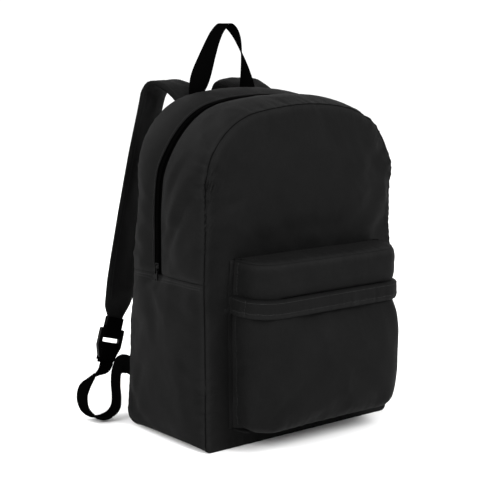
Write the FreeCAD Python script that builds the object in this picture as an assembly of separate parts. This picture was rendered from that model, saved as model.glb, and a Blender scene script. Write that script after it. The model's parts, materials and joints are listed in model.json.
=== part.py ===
"""School backpack in soft polyester: an arched main bag with a zip that runs over its top, a zipped
front pocket under a rain flap, a webbing haul handle and two padded shoulder straps with ladder-lock
buckles. Millimetres. +Z is up, -Y is the front (the pocket side) and the wearer's left is -X.
Shapes are laid out about the bag's own middle (Y = 0 half way through the bag at its zip) and the
whole model is moved along Y at the end, so that its origin is under the middle of its bounding box.
"""
import FreeCAD
import Part
import math
import os

V = FreeCAD.Vector

# Driving dimensions of the main bag.
HALF_WIDTH = 150.0
Y_FRONT = -75.0
APEX_FRONT = 411.0        # height of the arch on the front seam
ROOF_SLOPE = 13.0 / 140.0   # the roof rises towards the back
TOP_R = 380.0             # large arc over the top
SHOULDER_R = 95.0         # arcs at the two shoulders
CORNER_R = 8.0            # arcs at the two bottom corners
BACK_CORNER_R = 20.0      # rounding under the back edge
BACK_LINE = [(90.5, BACK_CORNER_R), (62.0, 300.0), (64.5, 460.0)]   # (y, z) up the leaning back
CLOTH = 1.5               # thickness of the coated polyester with its seam folds
BINDING = 0.8             # seam binding and back lining
BINDING_WIDTH = 6.0
PADDING = 4.0             # foam behind the back panel
PADDING_Z = 30.0          # the foam starts above the rounded corner
SEAM_Z = 205.0            # side seam between side panel and upper gusset, where the zip ends
FAR = 700.0               # longer than anything on the bag

# The front of the arch folds forward when the main zip is open.
LID_Z = 240.0
PLAY = 0.3                # clearance between pieces that move

# Zips. The main zip runs upright at the sides and leans forward over the shoulders.
ZIP_Y = 20.0
ZIP_LEAN_Z = 275.0        # where it starts to lean
ZIP_TOP_Y = 1.0
ZIP_TOP_Z = 375.0         # where it stops leaning
ZIP_HALF = 4.5            # half the visible band
ZIP_GAP = 0.6             # half the space that the slider's post runs in
COIL_WIDTH = 2.0
COIL_HEIGHT = 1.0
TAPE = 1.0
SLIDER_LENGTH = 11.0
SLIDER_WIDTH = 8.0
SLIDER_PLATE = 1.3
BRIDGE_HALF = 4.0         # the slider's bridge, which holds the pull
BRIDGE_RISE = 3.4
BRIDGE_BAR = 1.0
PULL_BAR_X = -2.2         # the main pull's cross-bar, from the slider's middle
PULL_BAR_DEPTH = 1.4
PULL_LENGTH = 27.0
PULL_HALF = 3.2
RING_R = 6.0              # the pocket pull's eye
RING_PULL_DROP = 14.0
STOP_LENGTH = 2.5
MAIN_SLIDER_Z = SEAM_Z + STOP_LENGTH + PLAY + SLIDER_LENGTH / 2

# Front pocket.
POCKET_HALF = 112.0
POCKET_DEPTH = 60.0
POCKET_CORNER_R = 28.0
POCKET_Z0 = 26.0
POCKET_Z1 = 232.0
POCKET_ZIP_Z = 184.0
POCKET_ZIP_HALF = 5.0
POCKET_RECESS = 3.0       # the pocket zip lies this far behind the cloth, under the flap
FLAP_Z1 = 192.0
FLAP_Z0 = 168.0
FLAP_GAP = 3.6
FLAP_CLOTH = 1.4

# Webbing and its buckles.
WEB_WIDTH = 25.0
WEB = 1.6
BUCKLE_BAR_R = 2.0
BUCKLE_PLATE = 5.0
BUCKLE_AT = V(-130.0, 156.5, 107.0)    # centre of the left buckle's top bar
BUCKLE_LEAN = 16.0        # its foot swings outwards
BUCKLE_HALF = 18.5
BUCKLE_SHOULDER = 22.0    # where its sides start to slope inwards
BUCKLE_DROP = 38.0
BUCKLE_WINDOW = 26.0
BUCKLE_SLOTS = [(3.0, -7.5), (-11.0, -18.0), (-22.0, -25.8)]   # top and bottom of each opening
LOOP_RISE = 14.0          # the webbing loop round the top bar
TAIL_STATIONS = slice(7, 14)           # the stretch of the adjuster that its free tail lies along

# Shoulder straps.
STRAP_WIDTH = 60.0
STRAP_PAD = 8.0
STRAP_COVER = 1.0
STRAP_BINDING = 2.0

# Haul handle.
HANDLE_HINGE = V(0.0, 66.6, 424.5)
HANDLE_LEAN = 4.0         # the top lies this far behind the feet

# The bounding box's middle lies this far behind the bag's middle.
MIDDLE_Y = 12.3


# ---- basic shapes ----

def box(x0, x1, y0, y1, z0, z1):
    return Part.makeBox(x1 - x0, y1 - y0, z1 - z0, V(x0, y0, z0))


def prism_x(points, x0, x1):
    """A closed outline of (y, z) points pulled along X."""
    wire = Part.makePolygon([V(x0, y, z) for y, z in points + points[:1]])
    return Part.Face(wire).extrude(V(x1 - x0, 0, 0))


def mirrored(shape):
    return shape.mirror(V(0, 0, 0), V(1, 0, 0))


def bound(shape, x=(-FAR, FAR), y=(-FAR, FAR), z=(-FAR, FAR)):
    """The part of a shape that lies between the given limits."""
    return shape.common(box(*x, *y, *z))


def edges_along_y(shape):
    return [edge for edge in shape.Edges if abs(edge.tangentAt(edge.FirstParameter).y) > 0.9]


def rod(start, end, radius):
    along = end - start
    return Part.makeCylinder(radius, along.Length, start, along)


def strap_sections(stations, across_range, low, high):
    """Four-cornered sections of a flat strap at stations (centre, across, width factor). A section
    runs over across_range, times its factor, and from low to high along the strap's own normal."""
    sections = []
    count = len(stations)
    for i, (centre, across, factor) in enumerate(stations):
        along = stations[min(i + 1, count - 1)][0] - stations[max(i - 1, 0)][0]
        side = across - along * (across.dot(along) / along.dot(along))
        side.normalize()
        normal = along.cross(side)
        normal.normalize()
        near, far = (centre + side * (reach * factor) for reach in across_range)
        sections.append([near + normal * low, far + normal * low, far + normal * high, near + normal * high])
    return sections


def webbing(stations, low=-WEB / 2, high=WEB / 2):
    half = WEB_WIDTH / 2
    return skin_through(strap_sections(stations, (-half, half), low, high))


def skin_through(sections):
    """A solid whose four-cornered sections are joined by straight rulings."""
    def side(a, b):
        return Part.LineSegment(a, b).toShape()

    faces = [Part.Face(Part.makePolygon(s + s[:1])) for s in (sections[0], sections[-1])]
    for near, far in zip(sections, sections[1:]):
        for i in range(4):
            j = (i + 1) % 4
            faces.append(Part.makeRuledSurface(side(near[i], near[j]), side(far[i], far[j])))
    shell = Part.makeShell(faces)
    shell.sewShape()
    solid = Part.makeSolid(Part.Shell(shell.Faces))
    if solid.Volume < 0:
        solid.reverse()
    return solid


# ---- the main bag's outline ----

def arch_wire(y, inset):
    """The bag's cross-section at depth y: straight sides, round shoulders and a shallow top arc,
    all moved inwards by inset."""
    apex = APEX_FRONT + (y - Y_FRONT) * ROOF_SLOPE
    half = HALF_WIDTH - inset
    top_r = TOP_R - inset
    shoulder_r = SHOULDER_R - inset
    corner_r = CORNER_R - inset
    side_x = HALF_WIDTH - SHOULDER_R
    top_z = apex - TOP_R
    shoulder_z = top_z + math.sqrt((TOP_R - SHOULDER_R) ** 2 - side_x ** 2)
    lean = math.atan2(side_x, shoulder_z - top_z)
    mid = (lean + math.pi / 2) / 2
    low = inset

    def at(x, z):
        return V(x, y, z)

    def on_shoulder(sign, angle):
        return at(sign * (side_x + shoulder_r * math.sin(angle)), shoulder_z + shoulder_r * math.cos(angle))

    def corner(sign, angle):
        return at(
            sign * (half - corner_r + corner_r * math.sin(angle)),
            low + corner_r - corner_r * math.cos(angle),
        )

    quarter = math.pi / 2
    edges = [
        Part.LineSegment(corner(-1, 0), corner(1, 0)),
        Part.Arc(corner(1, 0), corner(1, quarter / 2), corner(1, quarter)),
        Part.LineSegment(corner(1, quarter), on_shoulder(1, quarter)),
        Part.Arc(on_shoulder(1, quarter), on_shoulder(1, mid), on_shoulder(1, lean)),
        Part.Arc(on_shoulder(1, lean), at(0, top_z + top_r), on_shoulder(-1, lean)),
        Part.Arc(on_shoulder(-1, lean), on_shoulder(-1, mid), on_shoulder(-1, quarter)),
        Part.LineSegment(on_shoulder(-1, quarter), corner(-1, quarter)),
        Part.Arc(corner(-1, quarter), corner(-1, quarter / 2), corner(-1, 0)),
    ]
    return Part.Wire([edge.toShape() for edge in edges])


def arch(inset, y0=Y_FRONT, y1=100.0):
    return Part.makeLoft([arch_wire(y0, inset), arch_wire(y1, inset)], True, True)


def arch_skin(outside, inside, y0, y1):
    """A layer that follows the arch between two insets; a negative inset stands proud."""
    return arch(outside, y0, y1).cut(arch(inside, y0, y1))


def back_y(z, inset):
    """Where the leaning back lies at height z."""
    for (y0, z0), (y1, z1) in zip(BACK_LINE, BACK_LINE[1:]):
        if z <= z1:
            return y0 + (y1 - y0) * (z - z0) / (z1 - z0) - inset
    return BACK_LINE[-1][0] - inset


def behind(inset):
    """Everything behind the back's line moved inwards, with the rounded corner at its foot."""
    foot_y = BACK_LINE[0][0] - BACK_CORNER_R
    radius = BACK_CORNER_R - inset
    centre_z = BACK_CORNER_R
    steps = 6
    turn = [
        (
            foot_y + radius * math.sin(math.pi / 2 * i / steps),
            centre_z - radius * math.cos(math.pi / 2 * i / steps),
        )
        for i in range(steps + 1)
    ]
    line = [(y - inset, z) for y, z in BACK_LINE[1:]]
    top = BACK_LINE[-1][1]
    return prism_x([(foot_y, -FAR)] + turn + line + [(FAR, top), (FAR, -FAR)], -FAR, FAR)


def back_layer(near, deep, inset, z0):
    """A layer on the inside of the back, from depth near to depth deep."""
    levels = [z0, BACK_LINE[1][1], BACK_LINE[2][1]]
    outline = [(back_y(z, near), z) for z in levels] + [(back_y(z, deep), z) for z in reversed(levels)]
    return arch(inset).common(prism_x(outline, -FAR, FAR))


def bag_body():
    return arch(0).cut(behind(0))


# ---- panels of the main bag ----

def along_zip(front, back):
    """Everything between two offsets from the main zip's line."""
    levels = [(ZIP_Y, -FAR), (ZIP_Y, ZIP_LEAN_Z), (ZIP_TOP_Y, ZIP_TOP_Z), (ZIP_TOP_Y, FAR)]
    outline = [(y + front, z) for y, z in levels] + [(y + back, z) for y, z in reversed(levels)]
    return prism_x(outline, -FAR, FAR)


def bag_panels():
    body = bag_body()
    back = body.common(behind(CLOTH))
    rest = body.cut(behind(CLOTH))
    inner_y = Y_FRONT + CLOTH
    front = bound(rest, y=(-FAR, inner_y))
    ring = bound(rest, y=(inner_y, FAR)).cut(arch(CLOTH))
    zip_front = ZIP_Y - ZIP_HALF
    before_zip = ring.common(along_zip(-FAR, -ZIP_HALF))
    behind_zip = ring.common(along_zip(ZIP_HALF, FAR))
    low = LID_Z - PLAY / 2
    high = LID_Z + PLAY / 2
    return {
        "back_panel": back,
        "front_panel": bound(front, z=(-FAR, low)),
        "base_panel": bound(ring, z=(-FAR, CORNER_R)),
        "side_panel_left": bound(ring, x=(-FAR, 0), z=(CORNER_R, SEAM_Z)),
        "side_panel_right": bound(ring, x=(0, FAR), z=(CORNER_R, SEAM_Z)),
        "rear_gusset": bound(behind_zip, z=(SEAM_Z, FAR)),
        "gusset_corner_left": bound(ring, x=(-FAR, 0), y=(-FAR, zip_front), z=(SEAM_Z, low)),
        "gusset_corner_right": bound(ring, x=(0, FAR), y=(-FAR, zip_front), z=(SEAM_Z, low)),
        "lid_front_panel": bound(front, z=(high, FAR)),
        "lid_gusset": bound(before_zip, z=(high, FAR)),
    }


def inner_layers():
    inside = CLOTH + BINDING_WIDTH
    front_tape = arch_skin(CLOTH, inside, Y_FRONT + CLOTH, Y_FRONT + CLOTH + BINDING)
    back_tape = back_layer(CLOTH, CLOTH + BINDING, CLOTH, PADDING_Z).cut(arch(inside))
    lining = CLOTH + PADDING
    return {
        "back_padding": back_layer(CLOTH, lining, inside, PADDING_Z),
        "back_lining": back_layer(lining, lining + BINDING, inside, PADDING_Z),
        "back_seam_binding": back_tape,
        "front_seam_binding": bound(front_tape, z=(-FAR, LID_Z - PLAY / 2)),
        "lid_seam_binding": bound(front_tape, z=(LID_Z + PLAY / 2, FAR)),
    }


def main_zip():
    """Tapes and coils. The rear run and the two short front ends below the lid's fold stay with the
    bag; the rest of the front run goes with the lid."""
    above = (SEAM_Z, FAR)
    short = (SEAM_Z, LID_Z - PLAY / 2)
    lid = (LID_Z + PLAY / 2, FAR)
    tape_top = CLOTH - TAPE
    coil_top = tape_top - COIL_HEIGHT
    edge = ZIP_GAP + COIL_WIDTH

    def layer(outside, inside, front, back):
        skin = arch_skin(outside, inside, ZIP_TOP_Y - 2 * ZIP_HALF, ZIP_Y + 2 * ZIP_HALF)
        return skin.common(along_zip(front, back))

    tape = layer(tape_top, CLOTH, ZIP_GAP, ZIP_HALF)
    front_tape = layer(tape_top, CLOTH, -ZIP_HALF, -ZIP_GAP)
    coil = layer(coil_top, tape_top, ZIP_GAP, edge)
    front_coil = layer(coil_top, tape_top, -edge, -ZIP_GAP)
    stop_z = (SEAM_Z, SEAM_Z + STOP_LENGTH)
    stops = bound(arch_skin(coil_top, CLOTH, ZIP_Y - ZIP_GAP, ZIP_Y + ZIP_GAP), z=stop_z)
    return {
        "main_zip_tape": Part.makeCompound([bound(tape, z=above), bound(front_tape, z=short)]),
        "main_zip_coil": Part.makeCompound([bound(coil, z=above), bound(front_coil, z=short)]),
        "main_zip_stops": stops,
        "lid_zip_tape": bound(front_tape, z=lid),
        "lid_zip_coil": bound(front_coil, z=lid),
    }


# ---- sliders and pulls, drawn on a zip that lies in the XZ plane, facing -Y and running along X ----

def slider(coil_face, tape_back):
    """A zip slider about its middle: two plates joined by a post, with a bridge for the pull.
    coil_face and tape_back are how far the coil and the tape lie from the zip's own plane."""
    half_length = SLIDER_LENGTH / 2
    half_width = SLIDER_WIDTH / 2
    top = coil_face - PLAY
    under = tape_back + PLAY

    def plate(y0, y1):
        solid = box(-half_length, half_length, y0, y1, -half_width, half_width)
        return solid.makeFillet(1.5, edges_along_y(solid))

    post_half = ZIP_GAP - PLAY
    post = box(half_length - 4, half_length - 1, top, under, -post_half, post_half)
    face = top - SLIDER_PLATE
    arch_height = BRIDGE_RISE - BRIDGE_BAR
    bridge = box(-BRIDGE_HALF, BRIDGE_HALF, face - BRIDGE_RISE, face, -0.8, 0.8)
    inside = BRIDGE_HALF - BRIDGE_BAR
    bridge = bridge.cut(box(-inside, inside, face - arch_height, face, -1, 1))
    base = plate(under, under + SLIDER_PLATE)
    return plate(face, top).fuse([base, post, bridge]).removeSplitter(), face


def hanging_pull(face):
    """A pull with a cross-bar under the bridge. It hangs along -X from the bar, for a zip that
    stands upright."""
    bar_x = PULL_BAR_X
    bar_y = face - PULL_BAR_DEPTH
    half = 0.6
    tip = bar_x - PULL_LENGTH
    plate = box(tip, bar_x + half, bar_y - half, bar_y + half, -PULL_HALF, PULL_HALF)
    eye = box(bar_x - 5.4, bar_x - half, bar_y - 2, bar_y + 2, -1.8, 1.8)
    slot = box(tip + 4, tip + 15, bar_y - 2, bar_y + 2, -1.2, 1.2)
    return plate.cut(eye).cut(slot)


def ring_pull(face):
    """A pull whose round eye goes over the bridge, hanging along -Z for a zip that runs level."""
    y0 = face - 2.2
    y1 = face - 1.1
    eye = Part.makeCylinder(RING_R, y1 - y0, V(0, y0, 0), V(0, 1, 0))
    blade = box(-PULL_HALF, PULL_HALF, y0, y1, -RING_PULL_DROP, -RING_R / 2)
    hole = Part.makeCylinder(RING_R - 1.4, 10, V(0, y0 - 5, 0), V(0, 1, 0))
    return eye.fuse(blade).removeSplitter().cut(hole)


def main_slider():
    """The main zip's slider and pull, turned to run up the left side and to face -X."""
    body, face = slider(CLOTH - TAPE - COIL_HEIGHT, CLOTH)
    pieces = {"main_slider": body, "main_pull": hanging_pull(face)}
    for shape in pieces.values():
        shape.rotate(V(0, 0, 0), V(0, 1, 0), -90)
        shape.rotate(V(0, 0, 0), V(0, 0, 1), -90)
        shape.translate(V(-HALF_WIDTH, ZIP_Y, MAIN_SLIDER_Z))
    return pieces


# ---- the front pocket ----

def pocket_block(inset, z0, z1):
    """The pocket's plan outline, a U that bulges forward from the front panel, pulled upwards."""
    half = POCKET_HALF - inset
    front = Y_FRONT - POCKET_DEPTH + inset
    radius = POCKET_CORNER_R - inset
    bend = radius * (1 - math.sqrt(0.5))

    def at(x, y):
        return V(x, y, z0)

    edges = [
        Part.LineSegment(at(half, Y_FRONT), at(-half, Y_FRONT)),
        Part.LineSegment(at(-half, Y_FRONT), at(-half, front + radius)),
        Part.Arc(at(-half, front + radius), at(-half + bend, front + bend), at(-half + radius, front)),
        Part.LineSegment(at(-half + radius, front), at(half - radius, front)),
        Part.Arc(at(half - radius, front), at(half - bend, front + bend), at(half, front + radius)),
        Part.LineSegment(at(half, front + radius), at(half, Y_FRONT)),
    ]
    wire = Part.Wire([edge.toShape() for edge in edges])
    return Part.Face(wire).extrude(V(0, 0, z1 - z0))


def pocket_wall(outside, inside, z0, z1):
    return pocket_block(outside, z0, z1).cut(pocket_block(inside, z0, z1))


def pocket():
    zip_x = POCKET_HALF - POCKET_CORNER_R
    front = Y_FRONT - POCKET_DEPTH
    low = POCKET_ZIP_Z - POCKET_ZIP_HALF
    high = POCKET_ZIP_Z + POCKET_ZIP_HALF
    tape_y = front + POCKET_RECESS
    lip_y = (front + CLOTH, tape_y + TAPE)
    wall_z = (POCKET_Z0 + CLOTH, POCKET_Z1 - CLOTH)
    lower = pocket_wall(0, CLOTH, wall_z[0], POCKET_ZIP_Z)
    upper = pocket_wall(0, CLOTH, POCKET_ZIP_Z, wall_z[1])
    opening = box(-zip_x, zip_x, front - 1, front + 2 * CLOTH, low, high)
    lower_lip = box(-zip_x, zip_x, *lip_y, low - CLOTH, low)
    upper_lip = box(-zip_x, zip_x, *lip_y, high, high + CLOTH)
    gap_low = POCKET_ZIP_Z - ZIP_GAP
    gap_high = POCKET_ZIP_Z + ZIP_GAP
    tape = (tape_y, tape_y + TAPE)
    coil = (tape_y - COIL_HEIGHT, tape_y)
    stops = [
        box(x, x + STOP_LENGTH, coil[0], tape[1], gap_low, gap_high)
        for x in (-zip_x, zip_x - STOP_LENGTH)
    ]
    flap_x = zip_x - 4
    side = pocket_wall(-FLAP_GAP - FLAP_CLOTH, -FLAP_GAP, FLAP_Z0, FLAP_Z1)
    ledge = pocket_wall(-FLAP_GAP, 0, FLAP_Z1 - FLAP_CLOTH, FLAP_Z1)
    ends = side.fuse(ledge).removeSplitter()
    ledge_y = front - PLAY
    outer_y = front - FLAP_GAP - FLAP_CLOTH
    flap = box(-flap_x, flap_x, outer_y, outer_y + FLAP_CLOTH, FLAP_Z0, FLAP_Z1).fuse(
        box(-flap_x, flap_x, outer_y, ledge_y, FLAP_Z1 - FLAP_CLOTH, FLAP_Z1)
    )
    return {
        "pocket_front_panel": lower.cut(opening).fuse(lower_lip).removeSplitter(),
        "pocket_upper_band": upper.cut(opening).fuse(upper_lip).removeSplitter(),
        "pocket_base": pocket_block(0, POCKET_Z0, POCKET_Z0 + CLOTH),
        "pocket_top": pocket_block(0, POCKET_Z1 - CLOTH, POCKET_Z1),
        "pocket_zip_tapes": Part.makeCompound([
            box(-zip_x, zip_x, *tape, low, gap_low),
            box(-zip_x, zip_x, *tape, gap_high, high),
        ]),
        "pocket_zip_coils": Part.makeCompound([
            box(-zip_x, zip_x, *coil, gap_low - COIL_WIDTH, gap_low),
            box(-zip_x, zip_x, *coil, gap_high, gap_high + COIL_WIDTH),
        ]),
        "pocket_zip_stops": Part.makeCompound(stops),
        "flap_end_left": bound(ends, x=(-FAR, -flap_x - PLAY)),
        "flap_end_right": bound(ends, x=(flap_x + PLAY, FAR)),
        "pocket_flap": flap.removeSplitter(),
    }


def pocket_slider():
    zip_x = POCKET_HALF - POCKET_CORNER_R
    tape_y = Y_FRONT - POCKET_DEPTH + POCKET_RECESS
    body, face = slider(-COIL_HEIGHT, TAPE)
    pull = ring_pull(face)
    place = V(-zip_x + STOP_LENGTH + PLAY + SLIDER_LENGTH / 2, tape_y, POCKET_ZIP_Z)
    body.translate(place)
    pull.translate(place)
    return {"pocket_slider": body, "pocket_pull": pull}


# ---- straps, webbing and buckles, drawn for the left side (-X) ----

def flat(angle):
    """A level direction at this angle from +X."""
    a = math.radians(angle)
    return V(math.cos(a), math.sin(a), 0)


def strap_end_stations():
    """The last of the padding and the unpadded end, which narrows to the width of the webbing and
    leans as the buckle does."""
    narrow = WEB_WIDTH / STRAP_WIDTH
    return [
        (V(-119.5, 150.5, 160.0), flat(15), 0.93),
        (V(-122.5, 154.5, 140.0), flat(8), 0.72),
        (V(-125.2, 156.5, 124.3), flat(0), narrow),
        (V(-128.6, 156.5, 111.8), flat(0), narrow),
    ]


def left_strap_stations():
    """The left strap's route: out of the back seam, sharply over a fold and down, turning outwards."""
    return [
        (V(-55.0, 65.9, 411.0), flat(0), 1.0),
        (V(-55.0, 73.0, 412.5), flat(0), 1.0),
        (V(-57.0, 84.0, 419.0), flat(5), 1.0),
        (V(-62.5, 96.0, 426.5), flat(10), 1.0),
        (V(-69.5, 108.0, 430.5), flat(14), 1.0),
        (V(-76.0, 117.0, 429.5), flat(18), 1.0),
        (V(-81.0, 122.5, 421.0), flat(22), 1.0),
        (V(-84.5, 126.0, 404.0), flat(25), 1.0),
        (V(-95.0, 135.5, 340.0), flat(25), 1.0),
        (V(-106.5, 144.0, 260.0), flat(23), 1.0),
        (V(-116.0, 149.0, 190.0), flat(19), 1.0),
    ] + strap_end_stations()


def right_strap_stations():
    """The right strap's route, drawn on the left: it goes straight back, folds and then swings out."""
    return [
        (V(-55.0, 65.9, 411.0), flat(0), 1.0),
        (V(-55.0, 73.0, 412.5), flat(0), 1.0),
        (V(-53.5, 83.0, 418.5), flat(0), 1.0),
        (V(-51.5, 94.0, 425.0), flat(0), 1.0),
        (V(-50.0, 105.0, 429.5), flat(0), 1.0),
        (V(-48.5, 116.0, 431.0), flat(0), 1.0),
        (V(-48.0, 126.0, 427.5), flat(0), 1.0),
        (V(-48.5, 132.5, 417.0), flat(1), 1.0),
        (V(-50.5, 137.0, 402.0), flat(3), 1.0),
        (V(-60.0, 145.0, 340.0), flat(9), 1.0),
        (V(-82.0, 150.0, 260.0), flat(15), 1.0),
        (V(-106.0, 150.5, 190.0), flat(17), 1.0),
    ] + strap_end_stations()


def adjuster_stations():
    """The webbing sewn into the back seam near the floor: it comes out level, drops to the floor,
    bows outwards in a loose loop and twists into the buckle's foot."""
    seam = V(0.0, -0.1, 1.0)
    turning = V(0.05, 0.6, 0.75)
    loop = V(0.1, 1.0, -0.1)
    twist = V(0.75, 0.6, -0.3)
    foot = V(0.96, 0.0, -0.28)
    return [
        (V(-149.0, 86.0, 76.0), seam, 1.0),
        (V(-149.6, 94.0, 77.0), seam, 1.0),
        (V(-154.0, 101.0, 74.5), turning, 1.0),
        (V(-157.5, 105.0, 66.0), loop, 1.0),
        (V(-158.0, 107.0, 49.0), loop, 1.0),
        (V(-156.0, 108.5, 32.0), loop, 1.0),
        (V(-156.5, 110.5, 18.0), loop, 1.0),
        (V(-163.0, 113.5, 9.0), loop, 1.0),
        (V(-174.0, 118.0, 6.0), loop, 1.0),
        (V(-183.0, 125.0, 9.0), loop, 1.0),
        (V(-188.0, 133.0, 17.0), loop, 1.0),
        (V(-187.0, 140.0, 29.0), loop, 1.0),
        (V(-179.0, 146.0, 41.0), loop, 1.0),
        (V(-166.0, 151.0, 50.0), V(0.4, 0.9, -0.2), 1.0),
        (V(-153.0, 155.0, 56.0), twist, 1.0),
        (V(-143.1, 156.5, 61.6), foot, 1.0),
        (V(-140.75, 156.5, 69.85), foot, 1.0),
    ]


def shoulder_strap(route):
    half = STRAP_WIDTH / 2
    core = half - STRAP_BINDING
    pad = STRAP_PAD / 2
    cover = pad + STRAP_COVER

    def padded(across_range, low, high):
        return skin_through(strap_sections(route, across_range, low, high)[:-3])

    end = strap_sections(route, (-half, half), -BUCKLE_BAR_R, BUCKLE_BAR_R)[-4:]
    return {
        "strap_cover": padded((-core, core), pad, cover),
        "strap_lining": padded((-core, core), -cover, -pad),
        "strap_foam": padded((-core, core), -pad, pad),
        "strap_binding": Part.makeCompound([
            padded((-half, -core), -cover, cover),
            padded((core, half), -cover, cover),
        ]),
        "strap_end": skin_through(end),
    }


def adjuster_webbing():
    """The live run from the seam to the buckle, and the free tail that lies along its outside."""
    route = adjuster_stations()
    near = WEB / 2 + PLAY
    return Part.makeCompound([webbing(route), webbing(route[TAIL_STATIONS], near, near + WEB)])


def leaning(shape):
    """Turns a buckle piece, drawn upright, about the middle of the top bar."""
    shape.rotate(BUCKLE_AT, V(0, 1, 0), BUCKLE_LEAN)
    return shape


def buckle_loop():
    """The short webbing loop that holds the buckle's top bar to the strap's end."""
    inner = BUCKLE_BAR_R + PLAY
    outer = inner + WEB
    x0 = BUCKLE_AT.x - WEB_WIDTH / 2
    x1 = BUCKLE_AT.x + WEB_WIDTH / 2
    centre = V(x0, BUCKLE_AT.y, BUCKLE_AT.z)

    def tube(radius):
        return Part.makeCylinder(radius, WEB_WIDTH, centre, V(1, 0, 0))

    def slab(half):
        return box(x0, x1, centre.y - half, centre.y + half, centre.z, centre.z + LOOP_RISE)

    loop = tube(outer).fuse(slab(outer)).cut(tube(inner)).cut(slab(inner))
    return leaning(loop.removeSplitter())


def ladder_lock():
    """The buckle: a frame with a round top bar, an open window and a lower slot."""
    c = BUCKLE_AT
    half = BUCKLE_HALF
    foot = half - 6.0
    y0 = c.y - BUCKLE_PLATE / 2
    outline = [(-half, 2.0), (half, 2.0), (half, -BUCKLE_SHOULDER), (foot, -BUCKLE_DROP),
               (-foot, -BUCKLE_DROP), (-half, -BUCKLE_SHOULDER)]
    points = [V(c.x + x, y0, c.z + z) for x, z in outline]
    frame = Part.Face(Part.makePolygon(points + points[:1])).extrude(V(0, BUCKLE_PLATE, 0))
    frame = frame.makeFillet(2.5, edges_along_y(frame))
    window = BUCKLE_WINDOW / 2
    for top, bottom in BUCKLE_SLOTS:
        through = (y0 - 1, y0 + BUCKLE_PLATE + 1)
        frame = frame.cut(box(c.x - window, c.x + window, *through, c.z + bottom, c.z + top))
    bar = rod(V(c.x - window - 1, c.y, c.z), V(c.x + window + 1, c.y, c.z), BUCKLE_BAR_R)
    return leaning(frame.fuse(bar).removeSplitter())


def side_pieces(route):
    """One side's strap, buckle and webbing, for a strap that follows this route."""
    pieces = shoulder_strap(route)
    pieces["buckle_loop"] = buckle_loop()
    pieces["ladder_lock"] = ladder_lock()
    pieces["adjuster_webbing"] = adjuster_webbing()
    return pieces


# ---- the haul handle ----

def handle_stations():
    """(x, height above the foot, angle of the width): a peaked loop that twists a quarter turn up
    each leg, so that it lies flat over the hand at the top."""
    return [
        (-55.0, 0.0, 0),
        (-48.5, 16.0, -32),
        (-40.5, 34.0, -58),
        (-33.0, 49.5, -74),
        (-27.0, 61.0, -82),
        (-19.0, 73.0, -87),
        (-8.0, 82.0, -90),
        (2.5, 78.0, -94),
        (12.0, 65.0, -108),
        (19.0, 44.0, -130),
        (24.0, 22.0, -155),
        (27.0, 0.0, -180),
    ]


def haul_handle():
    route = handle_stations()
    top = max(height for x, height, angle in route)
    foot = HANDLE_HINGE.z + PLAY
    return webbing([
        (V(x, HANDLE_HINGE.y + HANDLE_LEAN * height / top, foot + height), flat(angle), 1.0)
        for x, height, angle in route
    ])


# ---- assembly ----

def assemble():
    nodes = {}
    nodes.update(bag_panels())
    nodes.update(inner_layers())
    nodes.update(main_zip())
    nodes.update(main_slider())
    nodes.update(pocket())
    nodes.update(pocket_slider())
    nodes["haul_handle"] = haul_handle()
    for name, shape in side_pieces(left_strap_stations()).items():
        nodes[name + "_left"] = shape
    for name, shape in side_pieces(right_strap_stations()).items():
        nodes[name + "_right"] = mirrored(shape)
    for shape in nodes.values():
        shape.translate(V(0, -MIDDLE_Y, 0))
    return nodes


def main():
    os.makedirs("parts", exist_ok=True)
    total = FreeCAD.BoundBox()
    for name, shape in assemble().items():
        shape.exportStep("parts/" + name + ".step")
        total.add(shape.BoundBox)
        solids = len(shape.Solids)
        print(f"{name:22s} solids {solids} volume {shape.Volume:10.1f} valid {shape.isValid()}")
    print("box", total)


main()
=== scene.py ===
"""The looks of a soft black school backpack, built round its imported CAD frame. Metres, +Z up, -Y is the
front. Cloth panels are grids of points over the bag's own outline: they are puffed by a cloth
simulation, gathered along their seams and then given their thickness, stitches and weave. Every grid
carries an attribute named "cloth", its flat measures in metres, which the weaves follow."""

import json
import math

import bpy
import numpy as np
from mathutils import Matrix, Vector, noise
from mathutils.bvhtree import BVHTree

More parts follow.
